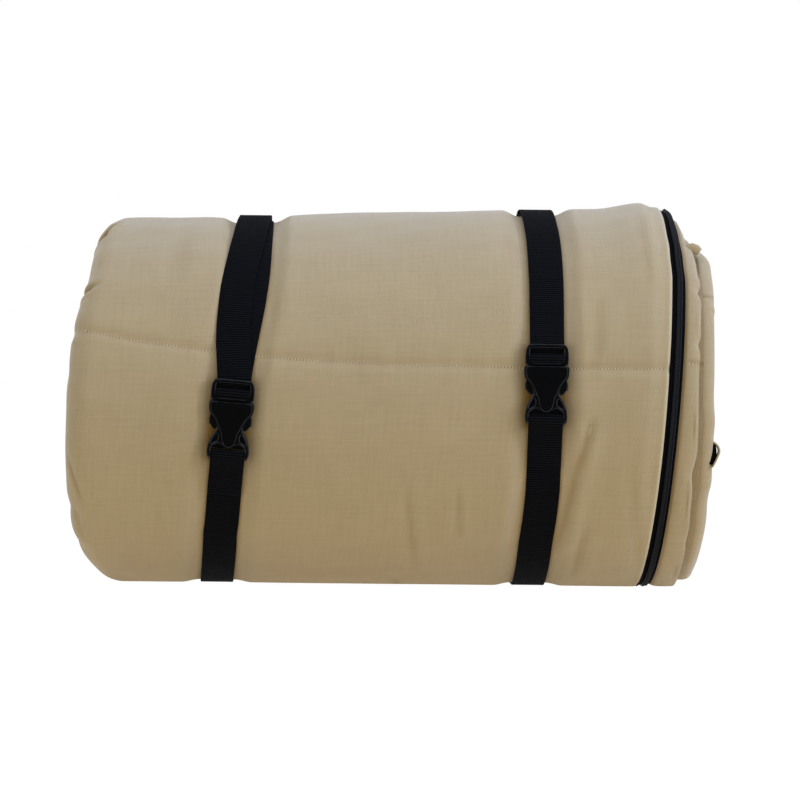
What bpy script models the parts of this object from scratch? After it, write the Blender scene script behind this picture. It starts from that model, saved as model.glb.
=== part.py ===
"""A rectangular canvas sleeping bag, folded in half lengthwise, rolled and strapped.

Lengths are in millimetres and become metres when a mesh is made. The roll lies along X on the floor
z = 0, and is seen from the front along +Y. An angle round the roll is 0 at the front, 90 on top,
180 at the back and -90 on the floor.
"""

from math import cos, pi, radians, sin, sqrt

import bmesh
import bpy
from mathutils import Matrix, Vector

MM = 0.001

# The roll
ROLL_RADIUS = 142.0
HALF_LENGTH = 240.0
CONE_TAPER = 0.030
STEPS_PER_TURN = 20
FLAP_ANGLE = 171.0
DIP_START = 15
COARSE_FROM = 40
LAST_STEP = 76

# The layers of the folded bag, from the outside of the stack inwards
SHELL = 1.0
LINER = 1.2
WADDING = 5.95
FIT = 0.3
TURN_GAP = 0.4

# Bulges between the straps, and the grooves that the straps press in
CROWN = 2.5
GROOVE = 3.0
FOOT_GROOVE = 2.1
GROOVE_HALF = 17.0
SHOULDER_HALF = 32.0
SHOULDER = 1.4

# Ends of the folded bag, along the roll
ZIP_MIDDLE = 203.0
ZIP_RISE = 9.5
ZIP_FRONT = 4.0
CLOSED_SIDE = 232.7
CLOSED_RISE = 3.5
CLOSED_FRONT = 5.0
EDGE_ROLL = 17.5
FOLD_EDGE = (
    (-135, -221.5),
    (-90, -219.5),
    (-45, -239.5),
    (0, -234.5),
    (45, -225.5),
    (90, -216.5),
    (135, -220.5),
    (180, -224.5),
)

# The zip
TAPE_THICK = 0.8
TAPE_HALF_BAND = 5.7
TAPE_HALF_GAP = 1.1
COIL_WIDTH = 4.4
COIL_HEIGHT = 2.0
BAND_DEPTH = 3.2
BAND_TILT = 30.0
ZIP_STEP = 4.5
ZIP_FINE_TO = 99.0
SLIDER_ANGLE = 158.0
SLIDER_LENGTH = 12.0
SLIDER_WIDTH = 8.4
SLIDER_PLATE = 1.2
SLIDER_PLAY = 0.6
SLIDER_TRAVEL = 45.0
NECK_WIDTH = 1.4
NECK_LENGTH = 2.6
PULL_LENGTH = 26.0
PULL_WIDTH = 6.0
PULL_THICK = 1.6

# Webbing
WEB_WIDTH = 25.0
WEB_THICK = 1.4
SEWN_BACK = 27.0

# Routes of the straps: angle round the roll, place along it
LEFT_ROUTE = (
    (-135, -129),
    (-90, -131.5),
    (-45, -124.5),
    (-31, -121.0),
    (-19, -118.4),
    (7, -113),
    (36, -103),
    (60, -101.5),
    (90, -103.5),
    (135, -110),
    (180, -119),
)
RIGHT_ROUTE = (
    (-135, 105.5),
    (-90, 106),
    (-49, 109.2),
    (-31, 112.4),
    (-19, 113.3),
    (4, 114),
    (36, 115),
    (62, 115),
    (90, 111.5),
    (135, 108),
    (180, 106),
)
LEFT_TAIL_ROUTE = (
    (-10, -115),
    (24, -114.5),
    (37, -112.9),
    (48, -109.5),
    (62, -106.4),
    (82, -104),
    (126, -108),
)
RIGHT_TAIL_ROUTE = ((-10, 114), (36, 114.6), (62, 114.4), (90, 111), (126, 108.4))
TAIL_LIFT = 1.9
TAIL_END = 5

# The side-release buckle, measured down from the top of its end bar
BUCKLE_MIDDLE = 30.0
BUCKLE_LIFT = 1.7
BUCKLE_HALF_THICK = 4.2
HOUSING_WALL = 1.5
MALE_LENGTH = 16.2
MALE_HALF_THICK = 2.75
MALE_HALF_WIDTH = 15.3
SLOT_HALF = 13.1
END_BAR = 2.3
END_BAR_LOW = -0.5
LOCK_BAR = (8.5, 11.9, -1.5, 1.8)
MOUTH = 16.5
PRONG_HALF_THICK = 2.4
WEB_BAR = (53.0, 56.4, -1.2, 1.7)
WEB_SLOT = 46.5
LOBE_END = 59.8
TONGUE_TIP = 49.6
TONGUE_HALF = 5.5
GUIDE_HALF = 2.8
GUIDE_END = 43.5
PRONG_ROOT = (11.0, 22.0)

LEFT_BUCKLE = {"angle": -6.6, "x": -115.4, "tilt": 4.6}
RIGHT_BUCKLE = {"angle": 3.8, "x": 113.9, "tilt": 0.7}

# The fabric loop at the right edge
LOOP_ANGLE = -18.0
LOOP_OUT = 5.0
LOOP_LENGTH = 8.0
LOOP_WIDTH = 9.0
LOOP_THICK = 1.2
LOOP_DEPTH = 24.0

STACK = 4 * WADDING + 4 * SHELL + 2 * LINER + 8 * FIT
PITCH = STACK + TURN_GAP
AXIS_HEIGHT = ROLL_RADIUS * cos(pi / STEPS_PER_TURN)
HALF_STACK = STACK / 2
SLIDER_OVER = TAPE_THICK / 2 + FIT + COIL_HEIGHT + SLIDER_PLAY
PULL_HEIGHT = SLIDER_OVER + SLIDER_PLATE + 1.0 + PULL_THICK / 2
OCTAGON = 2 - sqrt(2)
BUCKLE_HEIGHT = ROLL_RADIUS + BUCKLE_LIFT


def clear_scene():
    for old in list(bpy.data.objects):
        bpy.data.objects.remove(old)


def material(name, colour, roughness, metallic=0.0):
    made = bpy.data.materials.new(name)
    made.use_nodes = True
    shader = made.node_tree.nodes["Principled BSDF"]
    shader.inputs["Base Color"].default_value = (*colour, 1)
    shader.inputs["Roughness"].default_value = roughness
    shader.inputs["Metallic"].default_value = metallic
    made.diffuse_color = (*colour, 1)
    return made


def add_object(name, bm, look):
    """Scales the bmesh to metres, turns its faces outward and puts it in the scene."""
    bmesh.ops.scale(bm, vec=(MM, MM, MM), verts=bm.verts)
    bmesh.ops.recalc_face_normals(bm, faces=bm.faces)
    mesh = bpy.data.meshes.new(name)
    bm.to_mesh(mesh)
    bm.free()
    own = look.copy()
    own.name = f"{name} {look.name}"
    mesh.materials.append(own)
    made = bpy.data.objects.new(name, mesh)
    bpy.context.scene.collection.objects.link(made)
    return made


def as_helper(obj):
    obj.hide_render = True
    obj.display_type = "WIRE"
    return obj


def add_boolean(obj, helper, operation):
    cut = obj.modifiers.new(helper.name, "BOOLEAN")
    cut.object = as_helper(helper)
    cut.operation = operation


def along(route, angle):
    """Place along the roll at an angle, from a closed route through a few points."""
    points = sorted(route)
    angle = (angle - points[0][0]) % 360 + points[0][0]
    count = len(points)
    for i in range(count):
        start = points[i][0]
        end = points[(i + 1) % count][0] + (360 if i + 1 == count else 0)
        if start <= angle <= end:
            t = (angle - start) / (end - start)
            before = points[i - 1][1]
            here = points[i][1]
            there = points[(i + 1) % count][1]
            after = points[(i + 2) % count][1]
            pull = 2 * here + (there - before) * t
            bend = (2 * before - 5 * here + 4 * there - after) * t * t
            return (pull + bend + (3 * here - before - 3 * there + after) * t**3) / 2
    return points[-1][1]


def along_open(route, angle):
    """Place along the roll at an angle, on straight runs between the points."""
    for (start, here), (end, there) in zip(route, route[1:]):
        if angle <= end:
            t = max(0.0, (angle - start) / (end - start))
            return here + (there - here) * t
    return route[-1][1]


def zip_line(angle):
    return ZIP_MIDDLE + ZIP_RISE * sin(radians(angle)) + ZIP_FRONT * cos(radians(angle))


def closed_side(angle):
    return CLOSED_SIDE + CLOSED_RISE * sin(radians(angle)) + CLOSED_FRONT * cos(radians(angle))


def fold_edge(angle):
    return along(FOLD_EDGE, angle)


def cone(x):
    return 1 + CONE_TAPER * x / HALF_LENGTH


def on_roll(x, radius, angle):
    """A point of the roll. Both its height and its depth grow with the cone, so its foot stays flat."""
    turned = radians(angle)
    size = cone(x)
    return Vector((x, -size * radius * cos(turned), size * (AXIS_HEIGHT + radius * sin(turned))))


def step_angle(step):
    return FLAP_ANGLE - step * 360 / STEPS_PER_TURN


def spiral_radius(step):
    """Radius of the stack's outer face. Each turn is round, then dips under the one outside it."""
    turn, place = divmod(step, STEPS_PER_TURN)
    dip = 0.0
    if place > DIP_START:
        dip = (1 - cos(pi * (place - DIP_START) / (STEPS_PER_TURN - DIP_START))) / 2
    return ROLL_RADIUS - PITCH * (turn + dip)


def spiral_steps():
    fine = list(range(0, COARSE_FROM))
    return fine + list(range(COARSE_FROM, LAST_STEP + 1, 2))


def on_foot(step):
    return sin(radians(step_angle(step))) < -cos(1.5 * pi / STEPS_PER_TURN)


def columns(step):
    """Places across the outer face with their rise over the plain roll, right to left."""
    angle = step_angle(step)
    left = along(LEFT_ROUTE, angle)
    right = along(RIGHT_ROUTE, angle)
    middle = (left + right) / 2
    crown = 0.0 if on_foot(step) else CROWN
    shoulder = 0.0 if on_foot(step) else SHOULDER
    press = -FOOT_GROOVE if on_foot(step) else -GROOVE
    quarter = (right - left) / 5
    return [
        ("right bay", (right + SHOULDER_HALF + zip_line(angle)) / 2, shoulder),
        ("right shoulder", right + SHOULDER_HALF, shoulder),
        ("right groove", right + GROOVE_HALF, press),
        ("right groove inner", right - GROOVE_HALF, press),
        ("right rise", right - SHOULDER_HALF, shoulder),
        ("middle right", middle + quarter, crown),
        ("middle left", middle - quarter, crown),
        ("left rise", left + SHOULDER_HALF, shoulder),
        ("left groove inner", left + GROOVE_HALF, press),
        ("left groove", left - GROOVE_HALF, press),
        ("left shoulder", left - SHOULDER_HALF, shoulder),
        ("left bay", (left - SHOULDER_HALF + fold_edge(angle)) / 2, crown),
    ]


def face_points(step, depth, name):
    """The bulged face of the outermost turn at this depth. Inner turns have none of these points."""
    if step >= STEPS_PER_TURN:
        return []
    return [(f"{name} {key}", x, depth - rise) for key, x, rise in columns(step)]


def left_fold(angle, inset, name):
    """The fold at the left end, an octagon's half round, at this inset from the outside."""
    edge = fold_edge(angle)
    corner = OCTAGON * (HALF_STACK - inset)
    return [
        (f"{name} 1", edge + inset + corner, inset),
        (f"{name} 2", edge + inset, inset + corner),
        (f"{name} 3", edge + inset, STACK - inset - corner),
        (f"{name} 4", edge + inset + corner, STACK - inset),
    ]


def bottom_shell_section(step):
    """The bottom quilt's shell: outer arm, fold, inner arm and the round of the closed side."""
    angle = step_angle(step)
    seam = zip_line(angle) - TAPE_HALF_BAND + 0.2
    side = closed_side(angle)
    arm = STACK - SHELL
    corner = OCTAGON * HALF_STACK / 2
    inner_corner = OCTAGON * (HALF_STACK / 2 - SHELL)
    return (
        [("seam top", seam, 0.0)]
        + face_points(step, 0.0, "top")
        + left_fold(angle, 0.0, "outer")
        + [
            ("side 1", side - corner, STACK),
            ("side 2", side, STACK - corner),
            ("side 3", side, HALF_STACK + corner),
            ("side 4", side - corner, HALF_STACK),
            ("side 5", side - corner - SHELL, HALF_STACK),
            ("side 6", side - corner - SHELL, HALF_STACK + SHELL),
            ("side 7", side - SHELL - inner_corner, HALF_STACK + SHELL),
            ("side 8", side - SHELL, HALF_STACK + SHELL + inner_corner),
            ("side 9", side - SHELL, arm - inner_corner),
            ("side 10", side - SHELL - inner_corner, arm),
        ]
        + left_fold(angle, SHELL, "inner")[::-1]
        + face_points(step, SHELL, "under")[::-1]
        + [("seam under", seam, SHELL)]
    )


def top_shell_section(step):
    """The top quilt's shell: its rolled edge beyond the zip, and the doubled arm down the middle."""
    angle = step_angle(step)
    zip_at = zip_line(angle)
    side = closed_side(angle) - OCTAGON * HALF_STACK / 2 - SHELL - FIT
    fold = fold_edge(angle) + HALF_STACK - SHELL
    edge = EDGE_ROLL
    return [
        ("edge 1", zip_at + 5.5, 6.3),
        ("edge 2", zip_at + edge - 5.5, 5.6),
        ("edge 3", zip_at + edge, 8.6),
        ("edge 4", zip_at + edge, 13.0),
        ("edge 5", zip_at + edge - 3.4, HALF_STACK),
        ("side top", side, HALF_STACK),
        ("side under", side, HALF_STACK + SHELL),
        ("fold under", fold, HALF_STACK + SHELL),
        ("fold top", fold, HALF_STACK - SHELL),
        ("edge 6", zip_at + edge - 5.4, HALF_STACK - SHELL),
        ("edge 7", zip_at + edge - SHELL, 12.4),
        ("edge 8", zip_at + edge - SHELL, 9.2),
        ("edge 9", zip_at + edge - 5.7, 6.6),
        ("edge 10", zip_at + 5.5, 7.3),
    ]


def bottom_wadding_section(step):
    angle = step_angle(step)
    end = zip_line(angle) - 6.0
    side = closed_side(angle) - 7.0
    top = SHELL + FIT
    under = top + WADDING
    return (
        [("end top", end, top)]
        + face_points(step, top, "top")
        + left_fold(angle, top, "outer")
        + [("side low", side, STACK - top), ("side high", side, STACK - under)]
        + left_fold(angle, under, "inner")[::-1]
        + [("end under", end, under)]
    )


def liner_section(step):
    angle = step_angle(step)
    end = zip_line(angle) - 6.0
    side = closed_side(angle) - 7.0
    top = SHELL + 2 * FIT + WADDING
    under = top + LINER
    return (
        [("end top", end, top)]
        + left_fold(angle, top, "outer")
        + [("side low", side, STACK - top), ("side high", side, STACK - under)]
        + left_fold(angle, under, "inner")[::-1]
        + [("end under", end, under)]
    )


def top_wadding_section(step):
    angle = step_angle(step)
    end = zip_line(angle) + EDGE_ROLL
    side = closed_side(angle) - 7.0
    top = SHELL + 3 * FIT + WADDING + LINER
    under = top + WADDING
    fold = fold_edge(angle) + under
    return (
        [("end top", end - 6.5, top)]
        + left_fold(angle, top, "outer")
        + [
            ("side low", side, STACK - top),
            ("side high", side, STACK - under),
            ("fold low", fold, STACK - under),
            ("fold high", fold, under),
            ("end under", end - 6.5, under),
            ("end low", end - 2.0, 12.2),
            ("end high", end - 2.0, top + 0.8),
        ]
    )


def zipper(bm, upper, lower):
    """Fills the strip between two runs of vertices that start and end together."""
    i = j = 0
    while i + 1 < len(upper) or j + 1 < len(lower):
        ahead = (i + 1) / len(upper) <= (j + 1) / len(lower)
        if j + 1 == len(lower) or (ahead and i + 1 < len(upper)):
            bm.faces.new((upper[i], upper[i + 1], lower[j]))
            i += 1
        else:
            bm.faces.new((upper[i], lower[j + 1], lower[j]))
            j += 1


def run_between(keys, vertices, start, end):
    first = keys.index(start)
    last = keys.index(end)
    if last <= first:
        last += len(keys)
    return [vertices[i % len(keys)] for i in range(first, last + 1)]


def lean(vertex):
    """Orders points alike on every face, so that nested faces are split along the same diagonal."""
    place = vertex.co
    return place.x + 0.1 * sqrt(place.y**2 + (place.z - AXIS_HEIGHT) ** 2)


def split_quad(bm, one, other):
    if lean(one[0]) > lean(one[1]):
        bm.faces.new((one[0], one[1], other[1]))
        bm.faces.new((one[0], other[1], other[0]))
    else:
        bm.faces.new((one[0], one[1], other[0]))
        bm.faces.new((one[1], other[1], other[0]))


def loft(rings):
    """A closed body through rings of (key, point). Points of the same key are joined."""
    bm = bmesh.new()
    made = [([key for key, _ in ring], [bm.verts.new(point) for _, point in ring]) for ring in rings]
    for (keys, here), (next_keys, there) in zip(made, made[1:]):
        shared = [key for key in keys if key in next_keys]
        for start, end in zip(shared, shared[1:] + shared[:1]):
            one = run_between(keys, here, start, end)
            other = run_between(next_keys, there, start, end)
            if len(one) == 2 and len(other) == 2:
                split_quad(bm, one, other)
            else:
                zipper(bm, one, other)
    bm.faces.new(made[0][1])
    bm.faces.new(made[-1][1][::-1])
    return bm


def rolled(section):
    """Sweeps a section of (key, place along the roll, depth) down the spiral."""
    rings = []
    for step in spiral_steps():
        angle = step_angle(step)
        radius = spiral_radius(step)
        rings.append([(key, on_roll(x, radius - depth, angle)) for key, x, depth in section(step)])
    return loft(rings)


def band_point(angle, radius, across, out):
    """A point of the zip's tilted band: across it from the coil, and out from its middle plane."""
    tilt = radians(BAND_TILT)
    x = zip_line(angle) + across * cos(tilt) + out * sin(tilt)
    depth = BAND_DEPTH + across * sin(tilt) - out * cos(tilt)
    return on_roll(x, radius - depth, angle)


def zip_stations(start_angle):
    """Angles and radii along the zip: short steps where the slider runs, then the roll's own steps."""
    stations = []
    angle = start_angle
    while angle > ZIP_FINE_TO + 0.01:
        stations.append((angle, ROLL_RADIUS))
        angle -= ZIP_STEP
    for step in spiral_steps():
        if step_angle(step) < ZIP_FINE_TO + 0.01:
            stations.append((step_angle(step), spiral_radius(step)))
    return stations


def zip_strip(name, outline, look, start_angle=FLAP_ANGLE):
    rings = []
    for angle, radius in zip_stations(start_angle):
        points = [band_point(angle, radius, across, out) for across, out in outline]
        rings.append(list(enumerate(points)))
    return add_object(name, loft(rings), look)


def tape_outline(side):
    half = TAPE_THICK / 2
    inner = side * TAPE_HALF_GAP
    outer = side * TAPE_HALF_BAND
    return [(outer, half), (inner, half), (inner, -half), (outer, -half)]


def coil_outline():
    low = TAPE_THICK / 2 + FIT
    half = COIL_WIDTH / 2
    return [
        (-half, low),
        (-half, low + COIL_HEIGHT * 0.5),
        (-half * 0.5, low + COIL_HEIGHT),
        (half * 0.5, low + COIL_HEIGHT),
        (half, low + COIL_HEIGHT * 0.5),
        (half, low),
    ]


def strip(name, path, look, thickness=WEB_THICK, width=WEB_WIDTH):
    """A flat ribbon of even thickness along a path of (point, direction across).

    It creases along the direction across, so that it lies on a roll that creases there too.
    """
    rings = []
    last = len(path) - 1
    for i, (point, across) in enumerate(path):
        ahead = (path[min(i + 1, last)][0] - point) if i < last else None
        behind = (point - path[i - 1][0]) if i else None
        into = (behind or ahead).normalized()
        out = (ahead or behind).normalized()
        tangent = (into + out).normalized()
        normal = across.cross(tangent)
        a = across * width / 2 / normal.length
        b = normal.normalized() * thickness / 2 / max(0.5, into.dot(tangent))
        rings.append(list(enumerate([point - a - b, point + a - b, point + a + b, point - a + b])))
    return add_object(name, loft(rings), look)


def prism(outline, low, high):
    """An outline of (across, down from the end bar) as a plate in the buckle's own frame."""
    bm = bmesh.new()
    flat = [bm.verts.new((v, BUCKLE_MIDDLE - u, low)) for v, u in outline]
    face = bm.faces.new(flat)
    grown = bmesh.ops.extrude_face_region(bm, geom=[face])
    lifted = [item for item in grown["geom"] if isinstance(item, bmesh.types.BMVert)]
    bmesh.ops.translate(bm, vec=(0, 0, high - low), verts=lifted)
    return bm


def mirrored(half):
    """Both sides of an outline that is given for its right side, top to bottom."""
    return half + [(-v, u) for v, u in reversed(half)]


def rectangle(half_width, top, bottom):
    return mirrored([(half_width, top), (half_width, bottom)])


def buckle_frame(buckle):
    """The buckle's own frame: X across, Y up along the strap, Z away from the roll."""
    turned = radians(buckle["angle"])
    tilt = radians(buckle["tilt"])
    out = Vector((0, -cos(turned), sin(turned)))
    rise = Vector((0, sin(turned), cos(turned)))
    across = Vector((cos(tilt), 0, 0)) - rise * sin(tilt)
    up = rise * cos(tilt) + Vector((sin(tilt), 0, 0))
    middle = on_roll(buckle["x"], BUCKLE_HEIGHT, buckle["angle"])
    frame = Matrix.Identity(4)
    for i, axis in enumerate((across, up, out)):
        frame.col[i][:3] = axis
    frame.col[3][:3] = middle * MM
    return frame


def place(obj, frame):
    obj.matrix_world = frame
    return obj


def soften(obj, width):
    edge = obj.modifiers.new("Edges", "BEVEL")
    edge.width = width * MM
    edge.segments = 1
    edge.limit_method = "ANGLE"
    edge.angle_limit = radians(50)


def male_frame(name, frame, look):
    """The ladder lock, with its end bar and lock bar, and the guide between the prongs."""
    sides = mirrored([(11.5, 0.0), (14.6, 1.6), (MALE_HALF_WIDTH, 6.0), (MALE_HALF_WIDTH, MALE_LENGTH)])
    body = add_object(name, prism(sides, -MALE_HALF_THICK, MALE_HALF_THICK), look)
    soften(body, 0.5)
    window = rectangle(SLOT_HALF, -1.0, 13.4 + 2.4)
    add_boolean(body, place(add_object(name + "_window", prism(window, -6, 6), look), frame), "DIFFERENCE")
    end_bar = prism(rectangle(SLOT_HALF + 0.6, 0.0, END_BAR), END_BAR_LOW, MALE_HALF_THICK)
    add_boolean(body, place(add_object(name + "_end_bar", end_bar, look), frame), "UNION")
    lock_bar = prism(rectangle(SLOT_HALF + 0.6, *LOCK_BAR[:2]), *LOCK_BAR[2:])
    add_boolean(body, place(add_object(name + "_lock_bar", lock_bar, look), frame), "UNION")
    neck = mirrored(
        [
            (13.4, 15.2),
            (13.4, 20.6),
            (GUIDE_HALF + 1.0, 21.2),
            (GUIDE_HALF, 24.0),
            (GUIDE_HALF, 41.5),
            (1.4, GUIDE_END),
        ]
    )
    guide = prism(neck, -PRONG_HALF_THICK, PRONG_HALF_THICK)
    add_boolean(body, place(add_object(name + "_guide", guide, look), frame), "UNION")
    return place(body, frame)


def prong(name, frame, side, look):
    """A sprung arm: thin at its root, with the ribbed pad that shows in the side window."""
    outline = [
        (10.1, 21.9),
        (11.9, 21.8),
        (12.7, 22.8),
        (13.3, 25.4),
        (14.9, 27.4),
        (15.1, 31.5),
        (14.2, 35.0),
        (12.3, 37.9),
        (10.2, 37.2),
        (11.2, 33.5),
        (11.5, 29.5),
        (10.9, 25.0),
        (9.5, 22.8),
    ]
    body = prism([(side * v, u) for v, u in outline], -PRONG_HALF_THICK, PRONG_HALF_THICK)
    return place(add_object(name, body, look), frame)


def female_housing(name, frame, look):
    """The housing: mouth, side windows, waist, and the lobes that hold the webbing bar."""
    outline = mirrored(
        [
            (15.6, MOUTH),
            (16.25, 18.8),
            (15.9, 23.5),
            (14.6, 26.6),
            (11.6, 28.6),
            (9.6, 32.0),
            (8.6, 36.6),
            (11.4, 39.6),
            (13.8, 43.6),
            (15.2, 48.0),
            (15.6, 53.0),
            (15.1, 57.6),
            (13.2, LOBE_END),
        ]
    )
    body = add_object(name, prism(outline, -BUCKLE_HALF_THICK, BUCKLE_HALF_THICK), look)
    soften(body, 0.7)
    room = BUCKLE_HALF_THICK - HOUSING_WALL
    cavity = mirrored(
        [
            (14.0, MOUTH - 2),
            (14.0, 25.2),
            (17.5, 26.8),
            (17.5, 35.0),
            (9.4, 38.0),
            (3.6, 38.4),
            (3.6, 45.0),
        ]
    )
    hollow = add_object(name + "_cavity", prism(cavity, -room, room), look)
    add_boolean(body, place(hollow, frame), "DIFFERENCE")
    slot = rectangle(SLOT_HALF, WEB_SLOT, LOBE_END + 2)
    add_boolean(body, place(add_object(name + "_slot", prism(slot, -6, 6), look), frame), "DIFFERENCE")
    bar = prism(rectangle(SLOT_HALF + 0.6, *WEB_BAR[:2]), *WEB_BAR[2:])
    add_boolean(body, place(add_object(name + "_bar", bar, look), frame), "UNION")
    tip = mirrored([(6.4, 44.0), (TONGUE_HALF, 47.8), (3.2, TONGUE_TIP)])
    tongue = prism(tip, BUCKLE_HALF_THICK - 2.0, BUCKLE_HALF_THICK - 0.2)
    add_boolean(body, place(add_object(name + "_tongue", tongue, look), frame), "UNION")
    for side, word in ((1, "a"), (-1, "b")):
        recess = [(side * v, u) for v, u in ((9.0, 40.6), (12.2, 45.6), (7.4, 45.6))]
        pocket = prism(recess, BUCKLE_HALF_THICK - 2.2, 6)
        cutter = place(add_object(f"{name}_recess_{word}", pocket, look), frame)
        add_boolean(body, cutter, "DIFFERENCE")
    return place(body, frame)


def strap_radius(step):
    press = FOOT_GROOVE if on_foot(step) else GROOVE
    return spiral_radius(step) - press + FIT + WEB_THICK / 2


def strap_stations(route):
    """Each angle at which the strap turns on the roll, with its point and the direction across.

    There are none between the flap's edge and the turn below it, where the strap spans straight.
    """
    stations = {}
    for step in range(STEPS_PER_TURN - 3, -1, -1):
        angle = step_angle(step)
        x = along(route, angle)
        stations[angle] = (on_roll(x, strap_radius(step), angle), across_roll(x, angle))
    return stations


def across_roll(x, angle):
    return (on_roll(x + 1, ROLL_RADIUS, angle) - on_roll(x - 1, ROLL_RADIUS, angle)).normalized()


def in_buckle(frame, down, out):
    local = Vector((0, (BUCKLE_MIDDLE - down) * MM, out * MM))
    return (frame @ local) / MM


def build_strap(side, buckle, route, tail_route, look):
    """The load strand with its sewn loop, the turn round the lock bar, and the free tail."""
    frame = buckle_frame(buckle)
    across = frame.col[0].to_3d()
    stations = strap_stations(route)
    top_start = buckle["angle"] + 16
    upper = sorted(angle for angle in stations if angle > top_start)
    lower = sorted(angle for angle in stations if angle < buckle["angle"] - 18)
    path = [(in_buckle(frame, -4.0, -6.53), across)]
    path += [stations[angle] for angle in upper + lower]
    under = [(57.2, -2.9), (52.7, -2.3), (51.9, -1.5), (51.9, 2.0), (52.7, 2.75), (57.0, 2.75)]
    path += [(in_buckle(frame, *spot), across) for spot in under]
    path += sewn_back(stations[lower[-1]][0], in_buckle(frame, *under[0]), across)
    strip(f"{side}_strap", path, look)

    turn = [(-3.7, -6.4), (3.0, -3.6), (9.0, -3.35), (12.2, -2.6), (13.0, -1.6), (13.0, 2.1), (12.2, 2.85)]
    turn += [(8.2, 2.85), (7.45, 2.1), (7.45, -0.4), (6.3, -1.55), (2.5, -1.6), (-1.2, -3.1)]
    wrap = [(in_buckle(frame, *spot), across) for spot in turn]
    strip(f"{side}_strap_wrap", wrap, look)

    tail = [(in_buckle(frame, -1.5, -3.25), across)]
    for step in range(STEPS_PER_TURN, -1, -1):
        angle = step_angle(step)
        if top_start < angle < FLAP_ANGLE - TAIL_END * 9:
            x = along_open(tail_route, angle)
            tail.append((on_roll(x, strap_radius(step) + TAIL_LIFT, angle), across_roll(x, angle)))
    strip(f"{side}_strap_tail", tail, look)
    return frame


def sewn_back(load, bar, across):
    """The end of the webbing, turned back over the load strand and sewn to it."""
    line = (load - bar).normalized()
    lift = across.cross(line).normalized()
    if lift.y > 0:
        lift = -lift
    gap = WEB_THICK + FIT + 0.1
    start = bar + line * 9.0 + lift * gap
    end = bar + line * min((load - bar).length - 0.5, SEWN_BACK) + lift * gap
    return [(start, across), (end, across)]


def slider_frame(angle):
    """The slider's frame on the zip: X across the band, Y along it to the flap's end, Z out of it."""
    here = band_point(angle, ROLL_RADIUS, 0.0, 0.0)
    ahead = band_point(angle + 1, ROLL_RADIUS, 0.0, 0.0)
    behind = band_point(angle - 1, ROLL_RADIUS, 0.0, 0.0)
    to_end = (ahead - behind).normalized()
    across = (band_point(angle, ROLL_RADIUS, 1.0, 0.0) - here).normalized()
    across = (across - across.dot(to_end) * to_end).normalized()
    frame = Matrix.Identity(4)
    for i, axis in enumerate((across, to_end, across.cross(to_end))):
        frame.col[i][:3] = axis
    frame.col[3][:3] = here * MM
    return frame


def box(low, high):
    bm = bmesh.new()
    bmesh.ops.create_cube(bm, size=1)
    size = [b - a for a, b in zip(low, high)]
    middle = [(a + b) / 2 for a, b in zip(low, high)]
    bmesh.ops.scale(bm, vec=size, verts=bm.verts)
    bmesh.ops.translate(bm, vec=middle, verts=bm.verts)
    return bm


def build_slider(look):
    frame = slider_frame(SLIDER_ANGLE)
    half = SLIDER_WIDTH / 2
    length = SLIDER_LENGTH / 2
    under = -TAPE_THICK / 2 - SLIDER_PLAY
    over = SLIDER_OVER
    body = add_object("zip_slider", box((-half, -length, over), (half, length, over + SLIDER_PLATE)), look)
    soften(body, 0.3)
    plate = box((-half + 0.4, -length, under - SLIDER_PLATE), (half - 0.4, length, under))
    add_boolean(body, place(add_object("zip_slider_under", plate, look), frame), "UNION")
    middle = NECK_WIDTH / 2
    neck = box((-middle, length - NECK_LENGTH, under - 0.5), (middle, length, over + 0.5))
    add_boolean(body, place(add_object("zip_slider_neck", neck, look), frame), "UNION")
    bridge_top = over + SLIDER_PLATE + PULL_THICK + 2.0
    bridge = box((-1.0, -4.0, over + 0.5), (1.0, 4.0, bridge_top + 1.0))
    add_boolean(body, place(add_object("zip_slider_bridge", bridge, look), frame), "UNION")
    eye = box((-3.0, -2.8, over + SLIDER_PLATE), (3.0, 2.8, bridge_top))
    add_boolean(body, place(add_object("zip_slider_eye", eye, look), frame), "DIFFERENCE")
    place(body, frame)
    return frame


def build_pull(frame, look):
    """The pull tab. Its cross pin sits in the slider's eye, and it hangs down from there."""
    half = PULL_WIDTH / 2
    low = PULL_HEIGHT - PULL_THICK / 2
    high = PULL_HEIGHT + PULL_THICK / 2
    body = add_object("zip_pull", box((-half, -0.8, low), (half, PULL_LENGTH, high)), look)
    hole = box((-1.4, 0.8, low - 1), (1.4, 6.5, high + 1))
    add_boolean(body, place(add_object("zip_pull_hole", hole, look), frame), "DIFFERENCE")
    return place(body, frame)


def circle_through(a, b, c):
    """Centre and axis of the circle through three points."""
    ab = b - a
    ac = c - a
    axis = ab.cross(ac)
    to_centre = axis.cross(ab) * ac.length_squared + ac.cross(axis) * ab.length_squared
    return a + to_centre / (2 * axis.length_squared), axis.normalized()


def zip_arc():
    """Centre and axis of the arc that the slider runs on, from the flap's end over the back."""
    angles = (SLIDER_ANGLE, SLIDER_ANGLE - SLIDER_TRAVEL / 2, SLIDER_ANGLE - SLIDER_TRAVEL)
    return circle_through(*[band_point(angle, ROLL_RADIUS, 0.0, 0.0) for angle in angles])


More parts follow.
